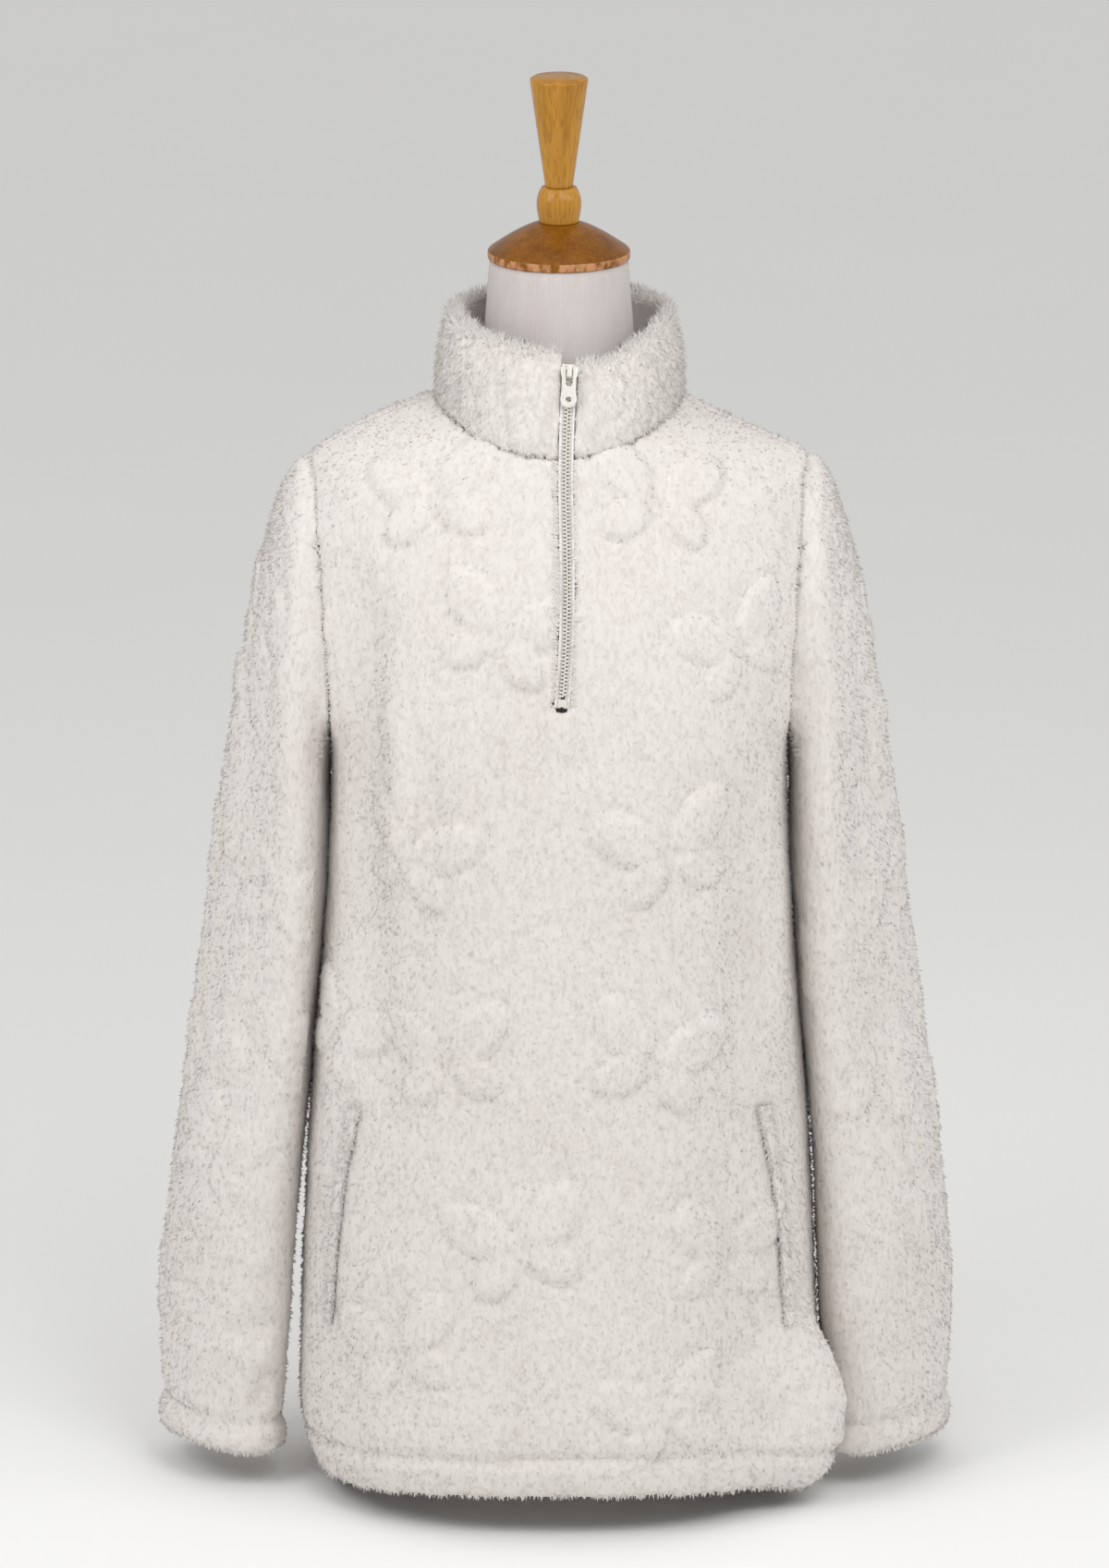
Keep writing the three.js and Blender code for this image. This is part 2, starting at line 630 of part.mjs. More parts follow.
// The bridge is an arch over the tab's axle, drawn along the zip and as wide as BRIDGE.width.
function bridge() {
  const { from, to, thickness, corner } = BRIDGE;
  const floor = wingBase + SLIDER.wing - BRIDGE.sink;
  const top = floor + BRIDGE.sink + BRIDGE.height;
  const shape = new THREE.Shape();
  shape.moveTo(from, floor);
  shape.lineTo(from, top - corner);
  shape.quadraticCurveTo(from, top, from + corner, top);
  shape.lineTo(to - corner, top);
  shape.quadraticCurveTo(to, top, to, top - corner);
  shape.lineTo(to, floor);
  shape.lineTo(to - thickness, floor);
  shape.lineTo(to - thickness, top - thickness);
  shape.lineTo(from + thickness, top - thickness);
  shape.lineTo(from + thickness, floor);
  shape.closePath();
  const geometry = new THREE.ExtrudeGeometry(shape, { depth: BRIDGE.width, bevelEnabled: false });
  geometry.translate(0, 0, -BRIDGE.width / 2);
  const turn = new THREE.Matrix4().makeBasis(
    new THREE.Vector3(0, 1, 0),
    new THREE.Vector3(0, 0, 1),
    new THREE.Vector3(1, 0, 0),
  );
  return geometry.applyMatrix4(turn);
}

function slider() {
  const top = plate(sliderOutline(), wingBase, wingBase + SLIDER.wing);
  const low = plate(sliderOutline(), SLIDER.lowWing, SLIDER.lowWing + SLIDER.wing);
  const post = new THREE.BoxGeometry(SLIDER_POST.width, SLIDER_POST.depth, wingBase - SLIDER.lowWing);
  const middle = (wingBase + SLIDER.wing + SLIDER.lowWing) / 2;
  post.translate(0, SLIDER.length / 2 - SLIDER_POST.fromTop, middle);
  return join(top, low, post, bridge());
}

// The pull tab hangs from its axle at the local origin, down -Y: a fork round the bridge,
// a waist and a round end with an eyelet.
function tab() {
  const { shoulder, top, waist, endRadius } = TAB;
  const end = -(TAB.length - endRadius - top);
  const fork = TAB_FORK;
  const right = [
    [endRadius - 0.1, end + 2],
    [waist, fork.bottom - 3.4],
    [waist + 0.1, fork.bottom + 2.6],
    [shoulder, 1],
  ];
  const outline = new THREE.Shape();
  outline.moveTo(-right[3][0], right[3][1]);
  outline.quadraticCurveTo(-shoulder, -4, -right[2][0], right[2][1]);
  outline.lineTo(-right[1][0], right[1][1]);
  outline.quadraticCurveTo(-waist, end + 5, -right[0][0], right[0][1]);
  outline.absarc(0, end, endRadius, Math.PI, 2 * Math.PI, false);
  outline.lineTo(right[0][0], right[0][1]);
  outline.quadraticCurveTo(waist, end + 5, right[1][0], right[1][1]);
  outline.lineTo(right[2][0], right[2][1]);
  outline.quadraticCurveTo(shoulder, -4, right[3][0], right[3][1]);
  outline.lineTo(shoulder - 0.9, top);
  outline.lineTo(shoulder / 2, top - 0.5);
  outline.lineTo(-shoulder / 2, top - 0.5);
  outline.lineTo(0.9 - shoulder, top);
  outline.closePath();
  const slot = new THREE.Path();
  slot.moveTo(-fork.halfWidth, fork.top);
  slot.lineTo(-fork.halfWidth, fork.bottom);
  slot.absarc(0, fork.bottom, fork.halfWidth, Math.PI, 2 * Math.PI, false);
  slot.lineTo(fork.halfWidth, fork.top);
  slot.closePath();
  const eyelet = new THREE.Path();
  eyelet.absarc(0, end, TAB_EYELET, 0, 2 * Math.PI, true);
  outline.holes.push(slot, eyelet);
  const options = { depth: TAB.thickness, bevelEnabled: false, curveSegments: 8 };
  return new THREE.ExtrudeGeometry(outline, options).translate(0, 0, -TAB.thickness / 2);
}

// ---- Dress form ----
// One ring round the form: the front half from -X to +X, then the back half.
function ringOf(pointAt, steps) {
  const us = spaced(-1, 1, steps).slice(0, -1);
  return [...us.map((u) => pointAt(u, FRONT)), ...us.map((u) => pointAt(-u, BACK))];
}

function torso() {
  const steps = 16;
  const plain = (row) => ringOf((u, side) => ringPoint(row, u, side), steps);
  const underFleece = (t) =>
    ringOf((u, side) => {
      const point = bodySmooth(t, u, side);
      return point.addScaledVector(bodyNormal(t, u, side), -(WALL + FORM_GAP));
    }, steps);
  const shoulders = UNDER_FLEECE_LEVELS.map(underFleece);
  return stackGeometry([...TORSO_ROWS.map(plain), ...shoulders, ...NECK_ROWS.map(plain)]);
}

function lathe(profile) {
  const geometry = new THREE.LatheGeometry(
    profile.map(([radius, z]) => new THREE.Vector2(radius, z)),
    48,
  );
  geometry.rotateX(Math.PI / 2);
  const bare = geometry.clone();
  bare.deleteAttribute("normal");
  bare.deleteAttribute("uv");
  return facingOut(mergeVertices(bare, 1e-4));
}

function neckCap() {
  const domeRise = CAP.height - CAP.rim;
  const dome = spaced(0, 1, 7).map((s) => {
    const radius = THREE.MathUtils.lerp(CAP.radius - CAP.edge, CAP.domeRadius, s);
    const rise = Math.sin(CAP.domeTurn * s) / Math.sin(CAP.domeTurn);
    return [radius, CAP.rim + domeRise * rise];
  });
  const rim = [
    [0, 0],
    [CAP.radius - CAP.edge, 0],
    [CAP.radius, CAP.edge],
    [CAP.radius, CAP.rim - CAP.edge],
  ];
  return lathe([...rim, ...dome, [0, CAP.height]]);
}

function bead() {
  const belly = spaced(0, 1, 9).map((s) => {
    const end = THREE.MathUtils.lerp(BEAD.bottomRadius, BEAD.topRadius, s ** 3);
    const bulge = BEAD.bulge * Math.sin(Math.PI * (0.82 * s) ** 1.15);
    return [end + bulge, BEAD.height * s];
  });
  return lathe([[0, 0], ...belly, [0, BEAD.height]]);
}

function handle() {
  const { height, bottomRadius, topRadius, edge } = HANDLE;
  const round = spaced(0, Math.PI / 2, 3).map((a) => [
    topRadius - edge + edge * Math.cos(a),
    height - edge + edge * Math.sin(a),
  ]);
  return lathe([[0, 0], [bottomRadius, 0], ...round, [0, height]]);
}

function foot() {
  const outline = new THREE.Shape();
  outline.absellipse(0, FOOT.centreY, FOOT.halfWidth, FOOT.halfDepth, 0, 2 * Math.PI);
  const options = { depth: FOOT.height, bevelEnabled: false, curveSegments: 32 };
  return new THREE.ExtrudeGeometry(outline, options);
}

// ---- Assembly ----
const group = new THREE.Group();
const front = named("front_panel", frontPanel(), FLEECE);
group.add(front);
group.add(named("back_panel", backPanel(), FLEECE));
group.add(named("sleeve_left", sleeve(1), FLEECE));
group.add(named("sleeve_right", sleeve(-1), FLEECE));
group.add(named("collar", collar(), FLEECE));
group.add(named("pocket_edge_left", pocketEdge(1, front), FLEECE));
group.add(named("pocket_edge_right", pocketEdge(-1, front), FLEECE));
group.add(named("zip_tape_left", zipTape(1), ZIP_PLASTIC));
group.add(named("zip_tape_right", zipTape(-1), ZIP_PLASTIC));
group.add(named("zip_chain", zipChain(), ZIP_PLASTIC));
group.add(named("zip_bottom_stop", zipStop(), ZIP_PLASTIC));

const sliderGroup = new THREE.Group();
sliderGroup.applyMatrix4(sliderMatrix());
sliderGroup.add(named("zip_slider", slider(), ZIP_PLASTIC));
const pull = named("zip_pull", tab(), ZIP_PLASTIC);
pull.position.set(0, AXLE.y, AXLE.height);
pull.rotation.x = THREE.MathUtils.degToRad(TAB_TILT);
sliderGroup.add(pull);
group.add(sliderGroup);

group.add(named("form_torso", torso(), JERSEY));
group.add(named("form_base", foot(), WOOD));
const wood = [
  ["neck_cap", neckCap(), NECK_TOP_Z + SEAM_GAP],
  ["finial_bead", bead(), NECK_TOP_Z + CAP.height + 2 * SEAM_GAP],
  ["finial_handle", handle(), NECK_TOP_Z + CAP.height + BEAD.height + 3 * SEAM_GAP],
];
for (const [name, geometry, z] of wood) {
  const mesh = named(name, geometry, WOOD);
  mesh.position.z = z;
  group.add(mesh);
}

export default group;
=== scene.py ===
"""Looks for the sherpa fleece pullover on its dress form.

Metres. The front faces -Y, and the wearer's left is +X.
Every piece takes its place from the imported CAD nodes.
"""

import math

import bmesh
import bpy
import numpy as np
from mathutils import Matrix, Vector
from mathutils.kdtree import KDTree


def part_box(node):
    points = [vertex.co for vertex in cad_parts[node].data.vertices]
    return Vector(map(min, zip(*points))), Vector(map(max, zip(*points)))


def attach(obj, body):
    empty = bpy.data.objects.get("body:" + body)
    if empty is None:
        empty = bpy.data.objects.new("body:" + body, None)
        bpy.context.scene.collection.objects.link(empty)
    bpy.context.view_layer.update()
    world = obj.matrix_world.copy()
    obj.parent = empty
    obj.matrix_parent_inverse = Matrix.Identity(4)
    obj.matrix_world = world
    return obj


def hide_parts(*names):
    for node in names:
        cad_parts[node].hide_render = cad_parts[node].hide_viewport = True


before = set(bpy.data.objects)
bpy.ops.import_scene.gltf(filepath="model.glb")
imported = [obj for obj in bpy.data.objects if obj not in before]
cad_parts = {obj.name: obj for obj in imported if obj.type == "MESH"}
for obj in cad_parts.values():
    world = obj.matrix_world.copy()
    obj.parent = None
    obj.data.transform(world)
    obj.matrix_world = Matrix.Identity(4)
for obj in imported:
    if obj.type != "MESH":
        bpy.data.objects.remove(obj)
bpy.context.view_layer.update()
scene = bpy.context.scene
rng = np.random.default_rng(11)

MM = 0.001
TURN = 2 * math.pi
# Views, as the direction from the part to the eye.
FRONT = np.array([0.0, -1.0, 0.0])
BACK = np.array([0.0, 1.0, 0.0])
LEFT = np.array([1.0, 0.0, 0.0])
RIGHT = np.array([-1.0, 0.0, 0.0])
GARMENT = "garment"

# ---- View ----
CAMERA_AT = (-0.003, -6.0, 2.205)
CAMERA_PITCH = 15.9  # degrees down
CAMERA_LENS = 209.4
SENSOR = 36  # millimetres along the picture's long side

# ---- Fleece ----
FLEECE_LIGHT = (0.805, 0.765, 0.735)
FLEECE_CREVICE_SHADE = (0.735, 0.69, 0.655)  # painted shade between the locks
CURL_SIZE = 4.2 * MM
FRONT_VOXEL = 3.6 * MM
BACK_VOXEL = 3.9 * MM
SLEEVE_VOXEL = 3.5 * MM
COLLAR_VOXEL = 2.6 * MM
POCKET_VOXEL = 1.4 * MM
RIM_GROWTH = 0.25  # share of a voxel that the cut edges grow by, to fill their seam gaps
RIM_MARGIN = 3  # rows of points beside the cut edges that keep their shape
PANEL_AXIS_TOP = 0.62  # above this height the body's cloth turns in over the shoulders
SLEEVE_AXIS_TOP = 0.6
COLLAR_AXIS_TOP = 0.9
PANEL_CROWN = 0.5  # how far the outward direction turns to the sides
ROUND_CROWN = 1.0
HEM_TURN = 27 * MM  # how far the topstitching is above the hem
CUFF_TURN = 20 * MM
STITCH_GROOVE = 3.0 * MM
STITCH_HALF_WIDTH = 3.6 * MM
PUCKER = 1.1 * MM
FOLD_FULLNESS = 1.2 * MM

# ---- Pile ----
PILE_LUMPS = 0.38 * MM
POCKET_LUMPS = 1.1 * MM
PILE_ROUNDNESS = 0.14  # how far each lock's own shape shows in the shading of the pile
# Locks on each piece: how many, their length and their radius at the root.
PILE = {
    "front_panel": (39000, 2.7 * MM, 0.66 * MM),
    "back_panel": (26000, 3.0 * MM, 0.7 * MM),
    "sleeve_left": (20000, 2.8 * MM, 0.66 * MM),
    "sleeve_right": (20000, 2.8 * MM, 0.66 * MM),
    "collar": (16000, 4.2 * MM, 0.6 * MM),
    "collar_rim": (3600, 6.0 * MM, 0.75 * MM),
    "pocket": (500, 4.0 * MM, 0.8 * MM),
    "zip_slit": (2200, 3.2 * MM, 0.65 * MM),
}
SEAM_LOCKS = {
    "front_panel": 4200,
    "back_panel": 2400,
    "sleeve_left": 2600,
    "sleeve_right": 2600,
    "collar": 2600,
    "pocket_edge_left": 700,
    "pocket_edge_right": 700,
}
SEAM_LOCK_LENGTH = 3.6 * MM
SEAM_LOCK_RADIUS = 0.95 * MM

# ---- Clear space beside the zip ----
ZIP_LOW, ZIP_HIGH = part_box("zip_chain")
ZIP_MIDDLE = (ZIP_LOW.x + ZIP_HIGH.x) / 2
ZIP_FRONT_Y = -0.03  # the cloth round the zip is in front of this
ZIP_RELIEF_REACH = 16 * MM  # where embossing starts beside the zip
ZIP_PILE_REACH = 7.5 * MM
ZIP_SEAM_REACH = 9 * MM
TAPE_RISE = 1.4 * MM  # beside the teeth the tape lies up against the fleece
TAPE_RINGS = 140
TAPE_SIDES = 12
TOOTH = {"pitch": 2.5 * MM, "inner": -0.75 * MM, "outer": 2.6 * MM, "width": 1.35 * MM, "height": 2.5 * MM}

# ---- Cut ----
# Flat size of what shows, all round on a tube, and how each piece is held.
CUTS = {
    "front_panel": ((0.53, 0.76), "stretched"),
    "back_panel": ((0.51, 0.77), "stretched"),
    "sleeve_left": ((0.36, 0.70), "hung"),
    "sleeve_right": ((0.36, 0.70), "hung"),
    "collar": ((0.54, 0.085), "folded"),
}

# ---- Drape and embossing ----
# Creases: the view each is placed in, its path across and up in that view, half width and depth.
# All are in millimetres. A trough is negative and a ridge positive. Across is x in the front and back
# views, and y in the side views.
BODY_CREASES = {
    "front_panel": [
        (FRONT, [(-148, 700), (-130, 630), (-134, 500), (-138, 400), (-128, 310)], 19, -7.5),
        (FRONT, [(-112, 600), (-106, 520), (-104, 430)], 10, 4.5),
        (FRONT, [(-90, 590), (-87, 500), (-96, 400), (-110, 320)], 9, -5.5),
        (FRONT, [(-70, 560), (-66, 470), (-72, 400)], 9, 1.6),
        (FRONT, [(122, 452), (128, 380), (118, 300)], 12, -6.5),
        (FRONT, [(146, 500), (148, 420), (146, 330)], 10, 3.6),
        (FRONT, [(100, 470), (104, 400), (98, 340)], 8, 1.8),
        (FRONT, [(92, 262), (112, 210), (132, 160)], 20, -3.6),
        (FRONT, [(96, 106), (124, 118), (152, 138)], 7, -3.4),
        (FRONT, [(150, 620), (140, 560), (137, 500)], 9, -3.2),
        (FRONT, [(-20, 560), (8, 540), (40, 552)], 12, -1.6),
        (FRONT, [(40, 300), (32, 200), (44, 90)], 17, 2.2),
        (FRONT, [(-10, 420), (-14, 300), (-4, 190)], 19, -1.8),
        (FRONT, [(-70, 260), (-74, 160), (-66, 70)], 14, -2.2),
        (FRONT, [(-128, 220), (-136, 130), (-128, 60)], 12, 2.0),
        (FRONT, [(-52, 756), (-64, 735), (-92, 708)], 8, -1.9),
        (FRONT, [(52, 752), (70, 728), (104, 706)], 8, -2.1),
        (FRONT, [(20, 735), (32, 690), (28, 640)], 11, -1.3),
        (FRONT, [(162, 92), (150, 72), (120, 64)], 8, -2.6),
    ],
    "back_panel": [
        (BACK, [(-132, 640), (-112, 520), (-118, 380), (-104, 300)], 15, -4.4),
        (BACK, [(-84, 560), (-80, 440), (-94, 330)], 10, 3.0),
        (BACK, [(-60, 420), (-66, 280), (-52, 130)], 14, -3.4),
        (BACK, [(28, 590), (20, 430), (34, 250)], 13, 2.4),
        (BACK, [(70, 500), (82, 360), (74, 210), (88, 110)], 14, -3.9),
        (BACK, [(122, 630), (132, 500), (124, 360)], 11, -3.0),
        (BACK, [(-40, 700), (4, 684), (52, 702)], 15, -1.8),
        (BACK, [(-146, 250), (-138, 160), (-146, 70)], 11, 2.4),
        (BACK, [(-6, 250), (6, 160), (-4, 60)], 15, -2.1),
        (BACK, [(126, 240), (120, 150), (132, 60)], 12, 2.6),
    ],
    "sleeve_left": [
        (FRONT, [(182, 600), (180, 470), (184, 330), (191, 200)], 9, 3.4),
        (RIGHT, [(2, 570), (2, 400), (4, 300), (4, -60)], 22, 7.8),
        (FRONT, [(205, 640), (206, 500), (214, 360), (224, 210)], 11, -3.4),
        (FRONT, [(188, 150), (214, 168), (244, 160)], 8, -2.2),
        (FRONT, [(196, 90), (224, 100), (258, 92)], 7, -2.0),
        (FRONT, [(236, 330), (250, 230), (256, 140)], 12, 2.0),
        (LEFT, [(-20, 610), (-14, 470), (-22, 330)], 12, -2.6),
        (LEFT, [(22, 560), (28, 400), (16, 240)], 12, 2.4),
        (LEFT, [(-34, 230), (0, 214), (30, 226)], 10, -2.4),
        (BACK, [(206, 600), (212, 450), (226, 280)], 11, -3.0),
        (BACK, [(186, 520), (190, 380), (200, 230)], 9, 2.4),
    ],
    "sleeve_right": [
        (FRONT, [(-180, 620), (-178, 480), (-183, 340), (-189, 210)], 9, 3.6),
        (LEFT, [(2, 570), (2, 400), (4, 300), (4, 100)], 22, 9.3),
        (FRONT, [(-203, 650), (-204, 520), (-211, 370), (-226, 200)], 11, -3.6),
        (FRONT, [(-190, 128), (-212, 112), (-240, 124)], 8, -5.0),
        (FRONT, [(-194, 92), (-206, 70), (-218, 42)], 7, -6.0),
        (FRONT, [(-230, 100), (-236, 66), (-228, 40)], 7, -4.5),
        (FRONT, [(-238, 340), (-250, 240), (-256, 150)], 12, 2.2),
        (RIGHT, [(-18, 600), (-24, 460), (-12, 320)], 12, -2.8),
        (RIGHT, [(20, 570), (24, 420), (14, 260)], 12, 2.2),
        (RIGHT, [(-30, 190), (2, 204), (32, 188)], 10, -2.2),
        (BACK, [(-208, 590), (-214, 430), (-228, 260)], 11, -2.8),
        (BACK, [(-186, 500), (-192, 360), (-202, 220)], 9, 2.6),
    ],
}

# Embossed butterflies: view, across and up in it, tilt in degrees and size.
BUTTERFLIES = {
    "front_panel": [
        (FRONT, -84, 722, 14, 1.0),
        (FRONT, 68, 722, -12, 1.0),
        (FRONT, -37, 634, -16, 1.0),
        (FRONT, 122, 621, 18, 0.95),
        (FRONT, 75, 484, 12, 1.05),
        (FRONT, -103, 478, -14, 1.0),
        (FRONT, 66, 341, -16, 1.05),
        (FRONT, -78, 341, 10, 1.0),
        (FRONT, -153, 341, -20, 0.95),
        (FRONT, -28, 211, 14, 1.05),
        (FRONT, 116, 198, -10, 1.0),
        (FRONT, -109, 132, 16, 1.0),
        (FRONT, 72, 87, 12, 1.0),
    ],
    "back_panel": [
        (BACK, -78, 700, -12, 1.0),
        (BACK, 74, 706, 15, 1.0),
        (BACK, 2, 618, -8, 1.0),
        (BACK, -112, 560, 18, 0.95),
        (BACK, 108, 548, -14, 1.0),
        (BACK, -36, 470, 12, 1.05),
        (BACK, 64, 400, -18, 1.0),
        (BACK, -98, 372, -10, 1.0),
        (BACK, 136, 300, 14, 0.95),
        (BACK, -12, 300, 16, 1.05),
        (BACK, -124, 214, -16, 1.0),
        (BACK, 66, 190, 10, 1.0),
        (BACK, -38, 110, -12, 1.0),
        (BACK, 130, 96, 18, 0.95),
    ],
    "sleeve_left": [
        (FRONT, 213, 530, -14, 0.92),
        (FRONT, 186, 392, 16, 0.9),
        (FRONT, 222, 300, -12, 0.95),
        (FRONT, 241, 186, 12, 0.9),
        (LEFT, 6, 610, 12, 0.95),
        (LEFT, -4, 440, -14, 0.95),
        (LEFT, 10, 260, 10, 0.95),
        (BACK, 206, 540, 12, 0.92),
        (BACK, 208, 380, -16, 0.92),
        (BACK, 232, 220, 14, 0.92),
    ],
    "sleeve_right": [
        (FRONT, -214, 562, 14, 0.92),
        (FRONT, -190, 432, -16, 0.9),
        (FRONT, -200, 308, 12, 0.9),
        (FRONT, -240, 243, -18, 0.9),
        (RIGHT, -6, 620, -12, 0.95),
        (RIGHT, 8, 460, 14, 0.95),
        (RIGHT, -8, 300, -10, 0.95),
        (RIGHT, 8, 140, 14, 0.92),
        (BACK, -206, 560, -12, 0.92),
        (BACK, -210, 400, 16, 0.92),
        (BACK, -234, 240, -14, 0.92),
    ],
    "collar": [
        (FRONT, -40, 792, 12, 0.55),
        (FRONT, 47, 788, -12, 0.55),
        (BACK, -30, 800, 10, 0.55),
        (BACK, 38, 798, -12, 0.55),
    ],
}
# One wing's lobes: centre across and up, half length, half width, and turn in degrees.
WING_LOBES = [(25, 14, 27, 17, 40), (20, -17, 19, 13.5, -42)]
WING_HEIGHT = 2.9 * MM
WING_OUTLINE = 1.0 * MM
BODY_LOBE = (2.6, 19)
SLEEVE_RELIEF = 0.65  # the embossing is softer on the sleeves


# ---- Small helpers ----
def smoothstep(low, high, value):
    t = np.clip((value - low) / (high - low), 0, 1)
    return t * t * (3 - 2 * t)


def unit(vectors):
    return vectors / np.maximum(np.linalg.norm(vectors, axis=-1, keepdims=True), 1e-12)


def value_noise(points, size, seed):
    """Smooth noise from -1 to 1 with features of about the given size."""
    place = points / size
    cell = np.floor(place).astype(np.int64)
    share = place - cell
    share = share * share * (3 - 2 * share)
    total = np.zeros(len(points))
    for corner in np.ndindex(2, 2, 2):
        c = cell + corner
        key = c[:, 0] * 73856093 ^ c[:, 1] * 19349663 ^ c[:, 2] * 83492791 ^ seed * 7919
        key = (key * 1103515245 + 12345) & 0x7FFFFFFF
        value = ((key >> 8) % 4096) / 2047.5 - 1
        weight = np.prod(np.where(corner, share, 1 - share), axis=1)
        total += value * weight
    return total


def link(name, mesh):
    obj = bpy.data.objects.new(name, mesh)
    scene.collection.objects.link(obj)
    return obj


def piece(obj, material, body=GARMENT, nodes=()):
    """Finishes a visible piece: material, smooth shading, body and the nodes that it stands for."""
    obj.data.materials.clear()
    obj.data.materials.append(material)
    obj.data.polygons.foreach_set("use_smooth", np.ones(len(obj.data.polygons), bool))
    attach(obj, body)
    if nodes:
        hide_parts(*nodes)
    return obj


def mesh_of(points, faces):
    mesh = bpy.data.meshes.new("mesh")
    mesh.from_pydata([tuple(p) for p in points], [], [tuple(f) for f in faces])
    mesh.update()
    return mesh


def welded_copy(node):
    """A copy of a CAD node's mesh with its split corners joined again."""
    bm = bmesh.new()
    bm.from_mesh(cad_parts[node].data)
    bmesh.ops.remove_doubles(bm, verts=bm.verts, dist=0.001 * MM)
    mesh = bpy.data.meshes.new(node + "_copy")
    bm.to_mesh(mesh)
    bm.free()
    return mesh


def evaluated(obj):
    """Applies the object's modifiers to its mesh."""
    depsgraph = bpy.context.evaluated_depsgraph_get()
    mesh = bpy.data.meshes.new_from_object(obj.evaluated_get(depsgraph))
    obj.modifiers.clear()
    obj.data = mesh
    return obj


# ---- Materials ----
class Material:
    """A Principled material with helpers that add and link nodes."""

    def __init__(self, name, roughness, **sockets):
        self.data = bpy.data.materials.new(name)
        self.data.use_nodes = True
        self.tree = self.data.node_tree
        self.shader = self.tree.nodes["Principled BSDF"]
        self.shader.inputs["Roughness"].default_value = roughness
        for socket, value in sockets.items():
            self.shader.inputs[socket.replace("_", " ")].default_value = value
        self.coordinate = self.tree.nodes.new("ShaderNodeTexCoord").outputs["Object"]

    def node(self, kind, inputs=None, **settings):
        made = self.tree.nodes.new("ShaderNode" + kind)
        for key, value in settings.items():
            setattr(made, key, value)
        for key, value in (inputs or {}).items():
            if isinstance(value, bpy.types.NodeSocket):
                self.tree.links.new(value, made.inputs[key])
            else:
                made.inputs[key].default_value = value
        return made

    def stretched(self, scale):
        return self.node("Mapping", {"Vector": self.coordinate, "Scale": scale}).outputs["Vector"]

    def noise(self, scale, detail=2.0, vector=None, roughness=0.5):
        inputs = {"Scale": scale, "Detail": detail, "Roughness": roughness}
        return self.node("TexNoise", {"Vector": vector or self.coordinate, **inputs}).outputs["Fac"]

    def wave(self, scale, distortion, direction):
        inputs = {"Vector": self.coordinate, "Scale": scale, "Distortion": distortion}
        return self.node("TexWave", inputs, bands_direction=direction).outputs["Fac"]

    def math(self, operation, a, b=0.0, c=0.0):
        return self.node("Math", {0: a, 1: b, 2: c}, operation=operation).outputs[0]

    def ramp(self, fac, stops):
        made = self.node("ValToRGB", {"Fac": fac})
        elements = made.color_ramp.elements
        while len(elements) < len(stops):
            elements.new(0.5)
        for element, (at, colour) in zip(elements, stops):
            element.position = at
            element.color = (*colour, 1)
        return made.outputs["Color"]

    def mix(self, fac, a, b, blend="MIX"):
        made = self.node("Mix", data_type="RGBA", blend_type=blend)
        for key, kind, value in (("Factor", "VALUE", fac), ("A", "RGBA", a), ("B", "RGBA", b)):
            socket = next(s for s in made.inputs if s.name == key and s.type == kind)
            if isinstance(value, bpy.types.NodeSocket):
                self.tree.links.new(value, socket)
            else:
                socket.default_value = value if kind == "VALUE" else (*value, 1)
        return next(s for s in made.outputs if s.type == "RGBA")

    def colour(self, socket):
        self.tree.links.new(socket, self.shader.inputs["Base Color"])

    def roughness(self, socket):
        self.tree.links.new(socket, self.shader.inputs["Roughness"])

    def bump(self, height, strength, distance):
        inputs = {"Height": height, "Strength": strength, "Distance": distance}
        normal = self.node("Bump", inputs).outputs["Normal"]
        self.tree.links.new(normal, self.shader.inputs["Normal"])


def between(a, b, share):
    return tuple((1 - share) * x + share * y for x, y in zip(a, b))


def fleece_material(name, tufts=False):
    made = Material(name, 0.95, Sheen_Weight=0.25, Sheen_Roughness=0.6)
    made.shader.inputs["Specular IOR Level"].default_value = 0.12
    combed = made.stretched((1.0, 1.0, 0.45))
    locks = made.node(
        "TexVoronoi",
        {"Vector": combed, "Scale": 1 / CURL_SIZE, "Smoothness": 0.7},
        feature="SMOOTH_F1",
    ).outputs["Distance"]
    curls = made.noise(520, 3.0, combed)
    cloudy = made.noise(9, 2.0)
    height = made.math("SUBTRACT", curls, made.math("MULTIPLY", locks, 0.5))
    # Where the pile's height is low the colour darkens: painted shade between the locks.
    middle = between(FLEECE_LIGHT, FLEECE_CREVICE_SHADE, 0.25)
    shade = made.ramp(height, [(0.08, FLEECE_CREVICE_SHADE), (0.3, middle), (0.5, FLEECE_LIGHT)])
    if tufts:
        # Roots keep the darker pile colour and tips turn to FLEECE_LIGHT: painted shade down in the pile.
        tip = made.node("Attribute", attribute_name="tip").outputs["Fac"]
        shade = made.mix(tip, shade, FLEECE_LIGHT)
    tint = made.ramp(cloudy, [(0.3, (0.955, 0.945, 0.935)), (0.7, (1.0, 1.0, 1.0))])
    made.colour(made.mix(1.0, shade, tint, "MULTIPLY"))
    made.bump(height, 0.12, 1.1 * MM)
    return made.data


